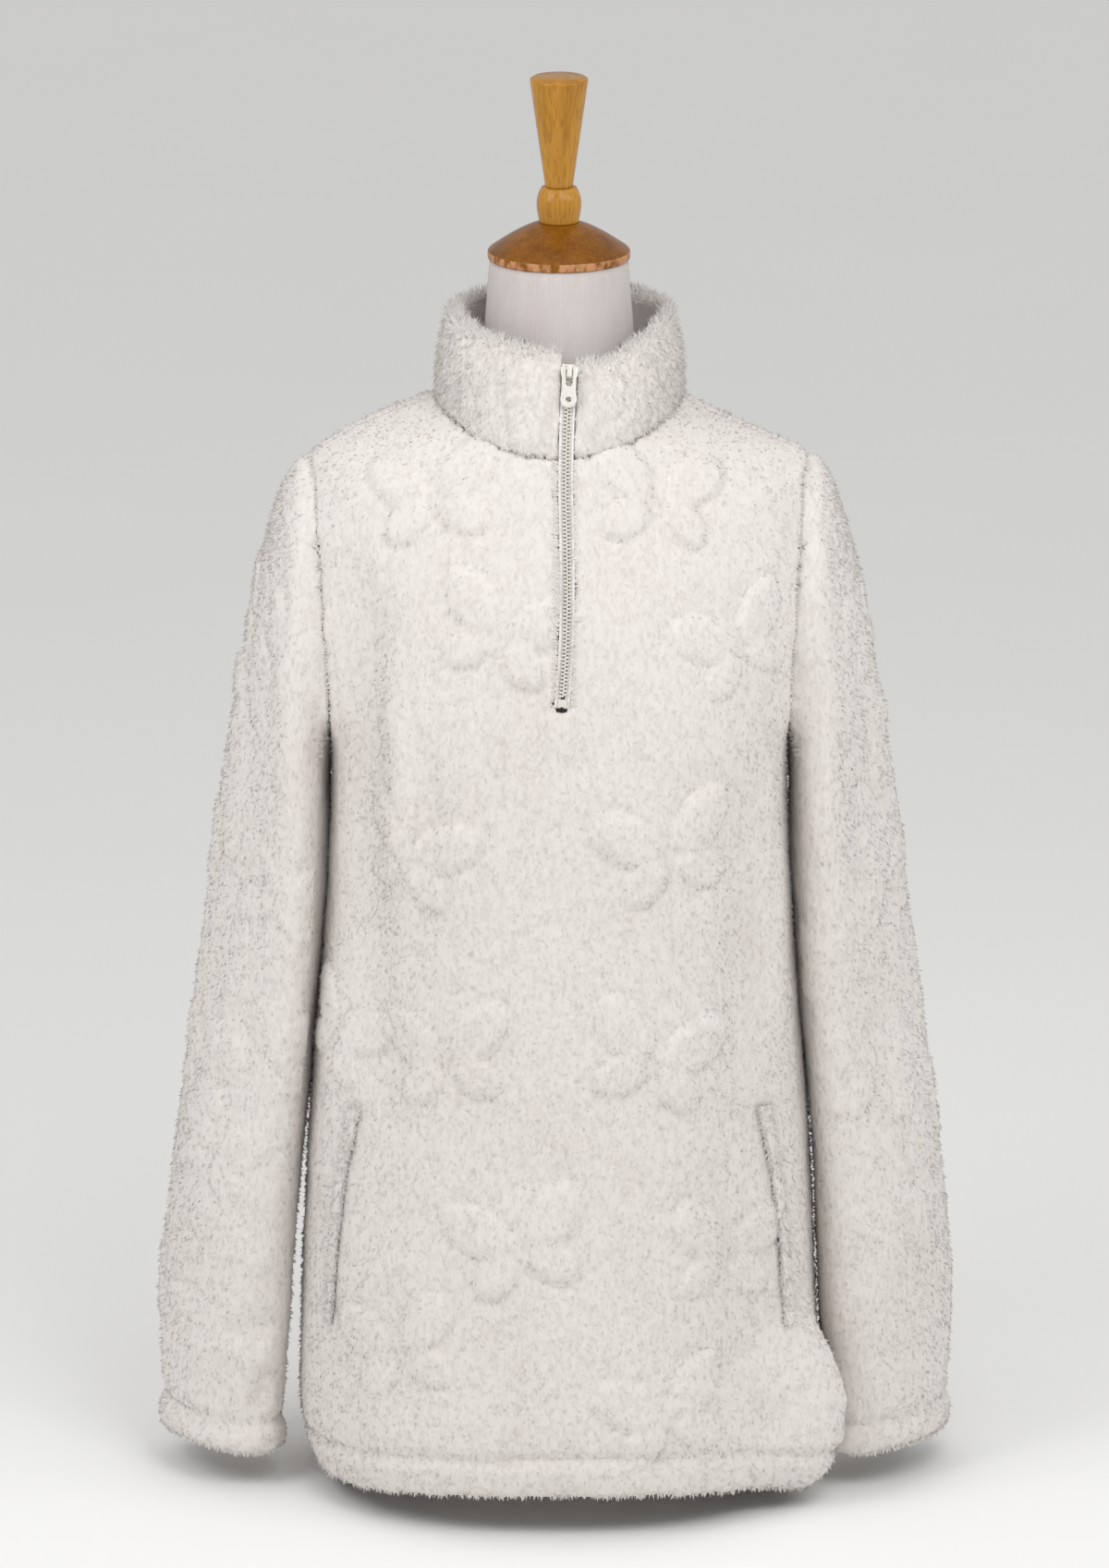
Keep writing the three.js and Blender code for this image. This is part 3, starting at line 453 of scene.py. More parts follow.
def jersey_material():
    made = Material("form_jersey", 0.92, Sheen_Weight=0.2)
    axes = made.node("SeparateXYZ", {"Vector": made.coordinate}).outputs
    angle = made.math("ARCTAN2", axes["Y"], axes["X"])
    ribs = made.math("SINE", made.math("MULTIPLY", angle, 190.0))
    slubs = made.noise(60, 3.0, made.stretched((1.6, 1.6, 0.7)))
    fuzz = made.noise(900, 2.0)
    rough = made.math("ADD", slubs, made.math("MULTIPLY", fuzz, 0.5))
    height = made.math("ADD", made.math("MULTIPLY", ribs, 0.35), rough)
    rib_share = made.math("MULTIPLY_ADD", ribs, 0.3, 0.5)
    ribbed = made.ramp(rib_share, [(0.0, (0.53, 0.485, 0.47)), (1.0, (0.66, 0.615, 0.60))])
    streaks = made.ramp(slubs, [(0.35, (0.96, 0.95, 0.945)), (0.65, (1.0, 1.0, 1.0))])
    made.colour(made.mix(1.0, ribbed, streaks, "MULTIPLY"))
    made.bump(height, 0.35, 0.5 * MM)
    return made.data


def wood_material(name, light, dark, worn=None):
    """Varnished wood with upright grain. worn gives a band of heights where the varnish has rubbed off."""
    made = Material(name, 0.3, Coat_Weight=0.15, Coat_Roughness=0.05)
    made.shader.inputs["Specular IOR Level"].default_value = 0.2
    grain = made.noise(70, 5.0, made.stretched((1.0, 1.0, 0.09)), 0.62)
    pores = made.noise(620, 2.0, made.stretched((1.0, 1.0, 0.05)))
    shade = made.ramp(grain, [(0.3, dark), (0.5, between(light, dark, 0.5)), (0.72, light)])
    flecks = made.ramp(pores, [(0.36, (0.72, 0.66, 0.58)), (0.5, (1.0, 1.0, 1.0))])
    colour = made.mix(0.7, shade, flecks, "MULTIPLY")
    if worn:
        low, high = worn
        z = made.node("SeparateXYZ", {"Vector": made.coordinate}).outputs["Z"]
        band = made.math("MULTIPLY", made.math("GREATER_THAN", z, low), made.math("LESS_THAN", z, high))
        patches = made.noise(150, 4.0, made.stretched((1.0, 1.0, 0.6)))
        patchy = made.ramp(patches, [(0.42, (0, 0, 0)), (0.56, (1, 1, 1))])
        bare = made.mix(made.noise(90, 3.0), (0.55, 0.30, 0.13), (0.50, 0.21, 0.11))
        fac = made.math("MULTIPLY", band, patchy)
        colour = made.mix(fac, colour, bare)
        made.roughness(made.math("MULTIPLY_ADD", fac, 0.4, 0.3))
    made.colour(colour)
    scratches = made.noise(260, 3.0, made.stretched((1.0, 1.0, 0.2)))
    made.bump(made.math("ADD", made.math("MULTIPLY", pores, 0.6), scratches), 0.12, 0.3 * MM)
    return made.data


def plastic_material():
    made = Material("zip_plastic", 0.34, Coat_Weight=0.15, Coat_Roughness=0.2)
    cloudy = made.noise(240, 2.0)
    made.colour(made.ramp(cloudy, [(0.3, (0.70, 0.665, 0.615)), (0.7, (0.76, 0.73, 0.685))]))
    made.bump(made.noise(1400, 2.0), 0.06, 0.1 * MM)
    return made.data


def tape_material():
    made = Material("zip_tape_weave", 0.9, Sheen_Weight=0.15)
    height = made.math("ADD", made.wave(260.0, 0.6, "Z"), made.wave(420.0, 0.3, "X"))
    share = made.math("MULTIPLY", height, 0.5)
    made.colour(made.ramp(share, [(0.0, (0.87, 0.845, 0.81)), (1.0, (0.93, 0.91, 0.885))]))
    made.bump(height, 0.4, 0.25 * MM)
    return made.data


FLEECE = fleece_material("fleece")
FLEECE_TUFTS = fleece_material("fleece_tufts", tufts=True)
JERSEY = jersey_material()
PLASTIC = plastic_material()
TAPE = tape_material()
HANDLE_WOOD = wood_material("handle_wood", (0.53, 0.265, 0.04), (0.34, 0.145, 0.014))
CAP_FOOT_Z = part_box("neck_cap")[0].z
CAP_WORN_BAND = (CAP_FOOT_Z - MM, CAP_FOOT_Z + 5.6 * MM)
CAP_WOOD = wood_material("cap_wood", (0.29, 0.108, 0.006), (0.14, 0.045, 0.003), CAP_WORN_BAND)


# ---- Cloth ----
class Cloth:
    """A fleece piece made from its CAD wall: fine quads, eased facets, then drape and relief."""

    def __init__(self, node, voxel, axis_top, crown):
        self.node = node
        self.voxel = voxel
        self.obj = link(node + "_fleece", welded_copy(node))
        modifier = self.obj.modifiers.new("voxels", "REMESH")
        modifier.mode = "VOXEL"
        modifier.voxel_size = voxel
        evaluated(self.obj)
        mesh = self.obj.data
        self.points = np.empty(len(mesh.vertices) * 3)
        mesh.vertices.foreach_get("co", self.points)
        self.points = self.points.reshape(-1, 3)
        self.edges = np.empty(len(mesh.edges) * 2, np.int64)
        mesh.edges.foreach_get("vertices", self.edges)
        self.edges = self.edges.reshape(-1, 2)
        self.valence = np.bincount(self.edges.ravel(), minlength=len(self.points))
        self.away = self.directions(axis_top, crown)
        self.relax()

    def normals(self):
        mesh = self.obj.data
        mesh.vertices.foreach_set("co", self.points.astype(np.float32).ravel())
        mesh.update()
        found = np.empty(len(mesh.vertices) * 3)
        mesh.vertex_normals.foreach_get("vector", found)
        return found.reshape(-1, 3)

    def directions(self, axis_top, crown):
        """Rough direction away from the hollow inside the piece."""
        axis_top = min(axis_top, self.points[:, 2].max())
        low = np.minimum(self.points[:, 2], axis_top)
        levels = np.linspace(low.min(), axis_top, 24)
        nearest = np.abs(low[:, None] - levels).argmin(1)
        middle = np.zeros((len(levels), 2))
        for i in range(len(levels)):
            ring = self.points[(nearest == i) & (self.points[:, 2] <= axis_top + 0.01)]
            middle[i] = (ring[:, :2].min(0) + ring[:, :2].max(0)) / 2
        if self.node.endswith("panel") or self.node.startswith("pocket"):
            middle[:] = 0
        centre = np.column_stack([
            np.interp(low, levels, middle[:, 0]),
            np.interp(low, levels, middle[:, 1]),
            low,
        ])
        offset = self.points - centre
        offset[:, 0] *= crown
        return unit(offset)

    def neighbour_mean(self, values):
        a, b = self.edges.T
        total = np.zeros_like(values)
        for axis in range(values.shape[1]):
            total[:, axis] = np.bincount(a, values[b, axis], len(values))
            total[:, axis] += np.bincount(b, values[a, axis], len(values))
        return total / self.valence[:, None]

    def relax(self, rounds=26):
        """Eases the facets along the normals, and leaves the piece's cut edges where they are."""
        normals = self.normals()
        for _ in range(3):
            normals = unit(self.neighbour_mean(normals) + normals)
        facing = np.abs((normals * self.away).sum(1))
        held = smoothstep(0.45, 0.8, facing)[:, None]
        rim = 1 - held
        for _ in range(RIM_MARGIN):
            held = self.neighbour_mean(held)
        held = smoothstep(0.7, 1.0, held)
        growth = RIM_GROWTH * self.voxel * np.maximum(zip_clear(self.points, ZIP_RELIEF_REACH), 0.3)[:, None]
        self.points += rim * growth * self.normals()
        for _ in range(rounds):
            pull = self.neighbour_mean(self.points) - self.points
            self.points += 0.6 * held * (pull * normals).sum(1, keepdims=True) * normals
        normals = self.normals()
        self.outer = smoothstep(-0.1, 0.35, (normals * self.away).sum(1))
        out = normals * np.sign((normals * self.away).sum(1))[:, None]
        for _ in range(6):
            out = unit(self.neighbour_mean(out) + out)
        self.out = out
        self.shift = np.zeros(len(self.points))
        self.relief = np.zeros(len(self.points))

    def crease(self, view, path, width, depth):
        """Moves both faces of the cloth in a long soft trough or ridge."""
        across = np.array([0.0, 1.0, 0.0]) if abs(view[0]) > 0.5 else np.array([1.0, 0.0, 0.0])
        flat = np.column_stack([self.points @ across, self.points[:, 2]]) / MM
        path = np.array(path, float)
        lengths = np.linalg.norm(np.diff(path, axis=0), axis=1)
        before = np.concatenate([[0], np.cumsum(lengths)])
        nearest = np.full(len(flat), 1e9)
        along = np.zeros(len(flat))
        for i, (a, b) in enumerate(zip(path, path[1:])):
            t = np.clip(((flat - a) @ (b - a)) / lengths[i] ** 2, 0, 1)
            gap = np.linalg.norm(flat - (a + t[:, None] * (b - a)), axis=1)
            closer = gap < nearest
            nearest[closer] = gap[closer]
            along[closer] = before[i] + t[closer] * lengths[i]
        share = along / before[-1]
        taper = smoothstep(0, 0.28, share) * smoothstep(0, 0.34, 1 - share)
        uneven = 1 + 0.25 * value_noise(self.points, 0.06, 5)
        facing = smoothstep(0.0, 0.45, self.out @ view)
        self.shift += depth * MM * taper * uneven * facing * np.exp(-((nearest / width) ** 2))

    def anchor(self, view, across, up):
        """The outer point seen at a place in a view, and the cloth's own axes there."""
        axis = np.array([0.0, 1.0, 0.0]) if abs(view[0]) > 0.5 else np.array([1.0, 0.0, 0.0])
        gap = np.hypot(self.points @ axis - across * MM, self.points[:, 2] - up * MM)
        score = self.points @ view - 4 * gap - (self.outer < 0.5) - (self.out @ view < 0.05)
        centre = self.points[score.argmax()]
        near = (np.linalg.norm(self.points - centre, axis=1) < 0.03) & (self.outer > 0.5)
        normal = unit(self.out[near].sum(0))
        right = unit(np.cross([0, 0, 1.0], normal))
        return centre, normal, right, np.cross(normal, right)

    def butterfly(self, view, across, up, tilt, size):
        centre, normal, right, above = self.anchor(view, across, up)
        offset = (self.points - centre) / (MM * size)
        turn = math.radians(tilt)
        a = offset @ (math.cos(turn) * right + math.sin(turn) * above)
        b = offset @ (math.cos(turn) * above - math.sin(turn) * right)
        near = (np.abs(offset @ normal) < 45) & (self.out @ normal > 0.25) & (np.hypot(a, b) < 70)
        raised = np.zeros(len(a))
        outline = np.zeros(len(a))
        for side in (-1, 1):
            for ca, cb, half_length, half_width, lobe_turn in WING_LOBES:
                t = math.radians(lobe_turn)
                da = side * a - ca
                db = b - cb
                p = (da * math.cos(t) + db * math.sin(t)) / half_length
                q = (db * math.cos(t) - da * math.sin(t)) / half_width
                inside = 1 - (p * p + q * q)
                raised = np.maximum(raised, smoothstep(-0.05, 0.55, inside))
                outline = np.maximum(outline, np.exp(-((inside + 0.1) / 0.16) ** 2))
        slim = 1 - (a / BODY_LOBE[0]) ** 2 - (b / BODY_LOBE[1]) ** 2
        groove = np.exp(-((a / 3.2) ** 2)) * (np.abs(b) < 30)
        height = WING_HEIGHT * raised * (1 - 0.65 * groove) + 0.5 * WING_HEIGHT * smoothstep(0, 0.6, slim)
        height -= WING_OUTLINE * outline * (1 - raised)
        self.relief[near] += size**2 * height[near]

    def above_edge(self, lowest=True, bins=120):
        """How far each point is above the piece's lower edge, or below its upper one."""
        sign = 1 if lowest else -1
        z = sign * self.points[:, 2]
        middle = np.zeros(2)
        if self.node.startswith("sleeve"):
            ring = self.points[z < z.min() + 0.05]
            middle = (ring[:, :2].min(0) + ring[:, :2].max(0)) / 2
        angle = np.arctan2(self.points[:, 0] - middle[0], -(self.points[:, 1] - middle[1]))
        cell = ((angle + math.pi) / TURN * bins).astype(int) % bins
        edge = np.full(bins, np.nan)
        for i in range(bins):
            found = z[cell == i]
            if len(found):
                edge[i] = found.min()
        known = np.flatnonzero(~np.isnan(edge))
        if self.node.endswith("panel"):
            known = known[edge[known] < z.min() + 0.06]
        wrapped = np.concatenate([known - bins, known, known + bins])
        edge = np.interp(np.arange(bins), wrapped, np.tile(edge[known], 3))
        centres = (np.arange(bins) + 0.5) / bins * TURN - math.pi
        wrapped = np.concatenate([centres - TURN, centres, centres + TURN])
        return z - np.interp(angle, wrapped, np.tile(edge, 3)), angle

    def turned_edge(self, height, angle, at, seed):
        """A hem or cuff turned up and topstitched: a groove along the stitches, puckers and a fuller fold."""
        wobble = 1.2 * MM * value_noise(self.points, 0.05, seed)
        groove = np.exp(-(((height - at + wobble) / STITCH_HALF_WIDTH) ** 2))
        pucker = value_noise(np.column_stack([angle * 6, height * 4, angle * 0]), 0.16, seed + 1)
        near = np.exp(-(((height - at) / (13 * MM)) ** 2))
        self.relief += PUCKER * near * pucker - STITCH_GROOVE * groove
        self.relief += FOLD_FULLNESS * smoothstep(0, 6 * MM, height) * smoothstep(at, at - 9 * MM, height)

    def finish(self, pile, seed):
        """Applies the drape, then the relief and the pile's own lumps on the outer face."""
        shift = self.shift
        for _ in range(4):
            shift = self.neighbour_mean(shift[:, None])[:, 0]
        self.points += shift[:, None] * self.out
        lumps = 0.55 * value_noise(self.points, 7 * MM, seed)
        lumps += 0.45 * value_noise(self.points, 4 * MM, seed + 1)
        swell = value_noise(self.points, 24 * MM, seed + 2)
        amount = self.relief + pile * lumps + 0.5 * MM * swell
        normals = self.normals()
        self.points += (self.outer * amount)[:, None] * normals
        self.points += ((1 - self.outer) * 0.25 * pile * lumps)[:, None] * normals
        self.normals()


def tuft_mesh(roots, normals, nap, length, radius, stray):
    """Fine three-sided locks of pile as one mesh. The tip attribute runs from 0 at the root to 1; the
    material uses it to paint shade towards the roots.
    """
    count = len(roots)
    lean = unit(normals * rng.uniform(0.25, 0.8, (count, 1)) + nap + rng.normal(0, stray, (count, 3)))
    side = unit(np.cross(lean, rng.normal(0, 1, (count, 3))))
    other = np.cross(lean, side)
    length = length * rng.uniform(0.55, 1.4, (count, 1))
    radius = radius * rng.uniform(0.7, 1.3, (count, 1))
    start = roots - normals * 0.4 * radius
    turns = np.arange(3) * TURN / 3
    corners = [start + radius * (math.cos(t) * side + math.sin(t) * other) for t in turns]
    points = np.stack([*corners, roots + lean * length], axis=1).reshape(-1, 3)
    base = (np.arange(count) * 4)[:, None]
    faces = np.concatenate([base + [k, (k + 1) % 3, 3] for k in range(3)])
    mesh = bpy.data.meshes.new("tufts")
    mesh.vertices.add(len(points))
    mesh.vertices.foreach_set("co", points.astype(np.float32).ravel())
    mesh.loops.add(faces.size)
    mesh.loops.foreach_set("vertex_index", faces.ravel().astype(np.int32))
    mesh.polygons.add(len(faces))
    mesh.polygons.foreach_set("loop_start", np.arange(len(faces), dtype=np.int32) * 3)
    mesh.update(calc_edges=True)
    mesh.polygons.foreach_set("use_smooth", np.ones(len(faces), bool))
    tips = np.tile([0.0, 0.0, 0.0, 1.0], count).astype(np.float32)
    mesh.attributes.new("tip", "FLOAT", "POINT").data.foreach_set("value", tips)
    round_them = (points - np.repeat(roots, 4, axis=0)) / np.repeat(radius, 4, axis=0)
    shading = unit(np.repeat(normals, 4, axis=0) + PILE_ROUNDNESS * unit(round_them))
    mesh.normals_split_custom_set_from_vertices(shading.astype(np.float32))
    return mesh


def sample_faces(cloth, count, weight):
    """Seeded places on the cloth's faces, more where weight is high."""
    mesh = cloth.obj.data
    corners = np.array([p.vertices[:] for p in mesh.polygons if len(p.vertices) == 4])
    quad = cloth.points[corners]
    cross = np.cross(quad[:, 2] - quad[:, 0], quad[:, 3] - quad[:, 1])
    area = np.linalg.norm(cross, axis=1) / 2
    normal = unit(cross)
    chance = area * weight(quad.mean(1), normal, corners)
    chosen = rng.choice(len(quad), count, p=chance / chance.sum())
    s, t = rng.random((2, count, 1))
    q = quad[chosen]
    place = (1 - s) * (1 - t) * q[:, 0] + s * (1 - t) * q[:, 1]
    place = place + s * t * q[:, 2] + (1 - s) * t * q[:, 3]
    return place, normal[chosen], corners[chosen]


def pile_piece(obj):
    """Fine pile lets light through to the cloth below it, so it throws no shadow of its own."""
    obj.visible_shadow = False
    return piece(obj, FLEECE_TUFTS)


def combed_pile(cloth, name, stray):
    """Locks all over a piece, combed down."""
    count, length, radius = PILE[cloth.node]
    place, normal, corners = sample_faces(cloth, count, body_weight(cloth))
    down = np.array([0, 0, -1.0]) - normal * (-normal[:, 2:3])
    nap = unit(down + 0.35 * rng.normal(0, 1, (count, 3)))
    return pile_piece(link(name, tuft_mesh(place, normal, nap, length, radius, stray)))


def outer_area(cloth):
    """Half the closed wall's area: the flat size of one layer."""
    mesh = cloth.obj.data
    areas = np.empty(len(mesh.polygons))
    mesh.polygons.foreach_get("area", areas)
    return areas.sum() / 2


def zip_clear(points, reach):
    """0 on the edges of the cut for the zip, and 1 from the given reach on, so that the teeth stay clear."""
    beside = smoothstep(reach / 2, reach, np.abs(points[:, 0] - ZIP_MIDDLE))
    near = (points[:, 1] < ZIP_FRONT_Y) & (points[:, 2] > ZIP_LOW.z - 12 * MM)
    return np.where(near, beside, 1.0)


def make_cloth(node, voxel, axis_top, crown):
    cloth = Cloth(node, voxel, axis_top, crown)
    for crease in BODY_CREASES.get(node, []):
        cloth.crease(*crease)
    for butterfly in BUTTERFLIES[node]:
        cloth.butterfly(*butterfly)
    if node.startswith("sleeve"):
        cloth.relief *= SLEEVE_RELIEF
    cloth.relief *= zip_clear(cloth.points, ZIP_RELIEF_REACH)
    return cloth


def body_weight(cloth):
    """More pile on the outer face, and most on the cut edges, where it hides the seams."""

    def weight(centre, normal, corners):
        edge = 1 - smoothstep(0.3, 0.7, np.abs((normal * cloth.away[corners].mean(1)).sum(1)))
        outer = cloth.outer[corners].mean(1)
        clear = zip_clear(centre, ZIP_PILE_REACH) > 0.2
        return (0.03 + outer + 1.6 * edge * (outer > 0.05)) * clear

    return weight


def seam_weight(cloth):
    """Only the outer corner of the cut edges, whose pile closes over the seams."""

    def weight(centre, normal, corners):
        outer = cloth.outer[corners].mean(1)
        corner = (outer > 0.12) * (outer < 0.97) * (outer * (1 - outer) + 0.02)
        return corner * (zip_clear(centre, ZIP_SEAM_REACH) > 0.9)

    return weight


def slit_weight(centre, normal, corners):
    """The cut edges beside the zip."""
    beside = np.abs(centre[:, 0] - ZIP_MIDDLE)
    along = (centre[:, 1] < ZIP_FRONT_Y) & (centre[:, 2] > ZIP_LOW.z - 5 * MM)
    edge = (beside < 9.5 * MM) & (beside > 4 * MM) & along
    return edge * front.outer[corners].mean(1)


def rim_weight(centre, normal, corners):
    """The collar's upper edge."""
    near = smoothstep(9 * MM, 2 * MM, rim_below[corners].mean(1))
    return near * (zip_clear(centre, ZIP_PILE_REACH) > 0.2)


def seam_locks(cloth, outward=None):
    """Locks rooted on the outer corner of the cut edges, laid across the seam."""
    place, normal, corners = sample_faces(cloth, SEAM_LOCKS[cloth.node], seam_weight(cloth))
    if outward is None:
        outward = unit(cloth.out[corners].mean(1))
    else:
        outward = outward(place)
    across = unit(normal - outward * (normal * outward).sum(1, keepdims=True))
    nap = across + np.array([0, 0, -0.35]) + 0.3 * rng.normal(0, 1, normal.shape)
    roots = place - across * 0.8 * MM
    locks = tuft_mesh(roots, outward, nap, SEAM_LOCK_LENGTH, SEAM_LOCK_RADIUS, 0.15)
    return pile_piece(link(cloth.node + "_seam_pile", locks))


# -- Panels, sleeves and collar --
cloths = []
for node, voxel, axis_top, crown, turned, seed in (
    ("front_panel", FRONT_VOXEL, PANEL_AXIS_TOP, PANEL_CROWN, HEM_TURN, 31),
    ("back_panel", BACK_VOXEL, PANEL_AXIS_TOP, PANEL_CROWN, HEM_TURN, 32),
    ("sleeve_left", SLEEVE_VOXEL, SLEEVE_AXIS_TOP, ROUND_CROWN, CUFF_TURN, 33),
    ("sleeve_right", SLEEVE_VOXEL, SLEEVE_AXIS_TOP, ROUND_CROWN, CUFF_TURN, 34),
):
    cloth = make_cloth(node, voxel, axis_top, crown)
    height, angle = cloth.above_edge()
    cloth.turned_edge(height, angle, turned, seed)
    cloths.append(cloth)
front, back, *sleeves = cloths

collar = make_cloth("collar", COLLAR_VOXEL, COLLAR_AXIS_TOP, ROUND_CROWN)
height, angle = collar.above_edge()
waves = value_noise(np.column_stack([angle * 5, height * 3, angle * 0]), 0.12, 41)
collar.relief += 0.5 * MM * waves * np.exp(-(((height - 8 * MM) / (14 * MM)) ** 2))

cloths.append(collar)
for cloth, seed in zip(cloths, (51, 54, 57, 60, 63)):
    cloth.finish(PILE_LUMPS, seed)
    piece(cloth.obj, FLEECE, nodes=(cloth.node,))

# -- Pile of the panels, sleeves and collar --
pile_of = {}
for cloth in (front, back, *sleeves):
    name = cloth.node.replace("_panel", "") + "_pile"
    pile_of[cloth.node] = [combed_pile(cloth, name, 0.4)]
for cloth in cloths:
    pile_of.setdefault(cloth.node, []).append(seam_locks(cloth))

count, length, radius = PILE["zip_slit"]
place, normal, corners = sample_faces(front, count, slit_weight)
inward = np.zeros_like(place)
inward[:, 0] = np.sign(ZIP_MIDDLE - place[:, 0])
outward = unit(np.array([0, -1.0, 0.2]) + 0.25 * rng.normal(0, 1, normal.shape))
locks = tuft_mesh(place, outward, 1.1 * inward - [0, 0, 0.4], length, radius, 0.2)
pile_of["front_panel"].append(pile_piece(link("zip_slit_pile", locks)))

# The collar has long combed pile, and a shaggy rim.
pile_of["collar"].append(combed_pile(collar, "collar_pile", 0.3))
rim_below, _ = collar.above_edge(lowest=False)
count, length, radius = PILE["collar_rim"]
place, normal, corners = sample_faces(collar, count, rim_weight)
up = np.array([0, 0, 1.0]) + 0.5 * normal + rng.normal(0, 0.35, normal.shape)
outward = unit(normal + np.array([0, 0, 0.6]))
locks = tuft_mesh(place, outward, unit(up), length, radius, 0.55)
pile_of["collar"].append(pile_piece(link("collar_rim_pile", locks)))

# -- Pocket edges --
front_tree = KDTree(len(front.points))
for i, point in enumerate(front.points):
    front_tree.insert(point, i)
front_tree.balance()


def panel_normals(points):
    """The front panel's own outward directions nearest to the points: the pocket edges light as it does."""
    return unit(np.array([front.out[front_tree.find(point)[1]] for point in points]))


count, length, radius = PILE["pocket"]
for node, seed in (("pocket_edge_left", 71), ("pocket_edge_right", 72)):
    cloth = Cloth(node, POCKET_VOXEL, PANEL_AXIS_TOP, PANEL_CROWN)
    cloth.finish(POCKET_LUMPS, seed)
    shading = panel_normals(cloth.points).astype(np.float32)
    cloth.obj.data.normals_split_custom_set_from_vertices(shading)
    piece(cloth.obj, FLEECE, nodes=(node,))
    place, normal, corners = sample_faces(cloth, count, body_weight(cloth))
    nap = unit(np.array([0, 0, -0.8]) + 0.5 * rng.normal(0, 1, normal.shape))
    locks = tuft_mesh(place, panel_normals(place), nap, length, radius, 0.5)
    pile = pile_piece(link(node + "_pile", locks))
    pile_of["front_panel"] += [cloth.obj, pile, seam_locks(cloth, panel_normals)]


# ---- Zip ----
def section(node, z):
    """Middle of a CAD node's level section at a height."""
    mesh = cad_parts[node].data
    points = np.empty(len(mesh.vertices) * 3)
    mesh.vertices.foreach_get("co", points)
    points = points.reshape(-1, 3)
    edges = np.array([e.vertices[:] for e in mesh.edges])
    a, b = points[edges[:, 0]], points[edges[:, 1]]
    crossing = (a[:, 2] - z) * (b[:, 2] - z) < 0
    a, b = a[crossing], b[crossing]
    hit = a + ((z - a[:, 2]) / (b[:, 2] - a[:, 2]))[:, None] * (b - a)
    return (hit.min(0) + hit.max(0)) / 2


class Path:
    """A line through a CAD strip, with the strip's own axes along it."""

    def __init__(self, node, margin=1.6 * MM, steps=60):
        low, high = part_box(node)
        heights = np.linspace(low.z + margin, high.z - margin, steps)
        self.points = np.array([section(node, z) for z in heights])
        for _ in range(4):
            self.points[1:-1] = (self.points[:-2] + 2 * self.points[1:-1] + self.points[2:]) / 4
        strides = np.linalg.norm(np.diff(self.points, axis=0), axis=1)
        self.length = np.concatenate([[0], np.cumsum(strides)])

    def point(self, distance):
        return np.array([np.interp(distance, self.length, self.points[:, i]) for i in range(3)])

    def at(self, distance):
        """The point at a distance, and the directions along, across and out of the strip there."""
        step = 2 * MM
        ahead = self.point(min(distance + step, self.length[-1]))
        along = unit(ahead - self.point(max(distance - step, 0)))
        across = unit(np.array([1.0, 0, 0]) - along * along[0])
        return self.point(distance), along, across, np.cross(across, along)


def tooth_geometry(bm, place, along, across, out, side):
    """One moulded tooth: a rounded bead whose head reaches past the middle."""
    low = TOOTH["inner"]
    high = TOOTH["outer"]
    matrix = Matrix.Identity(4)
    middle = place + across * side * (low + high) / 2
    for i, vector in enumerate((across * (high - low), along * TOOTH["width"], out * TOOTH["height"])):
        for j in range(3):
            matrix[j][i] = vector[j]
    for j in range(3):
        matrix[j][3] = middle[j]
    made = bmesh.ops.create_icosphere(bm, subdivisions=2, radius=0.5)
    for vertex in made["verts"]:
        p = vertex.co * 2
        squared = Vector([math.copysign(abs(c) ** 0.55, c) for c in p]) * 0.5
        squared.length = min(squared.length, 0.66)
        vertex.co = matrix @ squared


chain_path = Path("zip_chain")
bm = bmesh.new()
steps = int(chain_path.length[-1] / TOOTH["pitch"])
for i in range(steps):
    for side, offset in ((-1, 0.25), (1, 0.75)):
        tooth_geometry(bm, *chain_path.at((i + offset) * TOOTH["pitch"]), side)
mesh = bpy.data.meshes.new("zip_teeth")
bm.to_mesh(mesh)
bm.free()
piece(link("zip_teeth", mesh), PLASTIC, nodes=("zip_chain",))


def tape_ring(place, across, out, distance, outward):
    """A flat oval section of the tape, with its outer edge turned up and a slight ripple."""
    half_width = 1.85 * MM * (1 + 0.18 * math.exp(-((distance / (4 * MM)) ** 2)))
    half_height = 0.5 * MM
    ripple = 0.14 * MM * math.sin(distance / (3.4 * MM)) + 0.08 * MM * math.sin(distance / (1.3 * MM))
    ring = []
    for t in np.linspace(0, TURN, TAPE_SIDES, endpoint=False):
        c, s = math.cos(t), math.sin(t)
        aside = half_width * math.copysign(abs(c) ** 0.5, c)
        up = half_height * math.copysign(abs(s) ** 0.7, s) + ripple
        up += TAPE_RISE * smoothstep(-0.2, 0.6, outward * c)
        ring.append(place + across * aside + out * up)
    return ring


def tube_faces(rings, sides):
    faces = []
    for i in range(rings - 1):
        for j in range(sides):
            k = (j + 1) % sides
            faces.append((sides * i + j, sides * i + k, sides * (i + 1) + k, sides * (i + 1) + j))
    faces.append(tuple(range(sides - 1, -1, -1)))
    faces.append(tuple(sides * (rings - 1) + j for j in range(sides)))
    return faces


for node, outward in (("zip_tape_left", 1), ("zip_tape_right", -1)):
    path = Path(node, 0.4 * MM, 90)
    points = []
    for distance in np.linspace(0, path.length[-1], TAPE_RINGS):
        place, along, across, out = path.at(distance)
        points += tape_ring(place, across, out, distance, outward)
    woven = link(node + "_weave", mesh_of(points, tube_faces(TAPE_RINGS, TAPE_SIDES)))
    piece(woven, TAPE, nodes=(node,))


def softened(node, name, radius, material, body=GARMENT):
    """A CAD node's shape with its edges rounded over."""
    obj = link(name, welded_copy(node))
    modifier = obj.modifiers.new("edges", "BEVEL")
    modifier.width = radius
    modifier.segments = 3
    modifier.limit_method = "ANGLE"
    modifier.angle_limit = math.radians(40)
    evaluated(obj)
    return piece(obj, material, body, (node,))


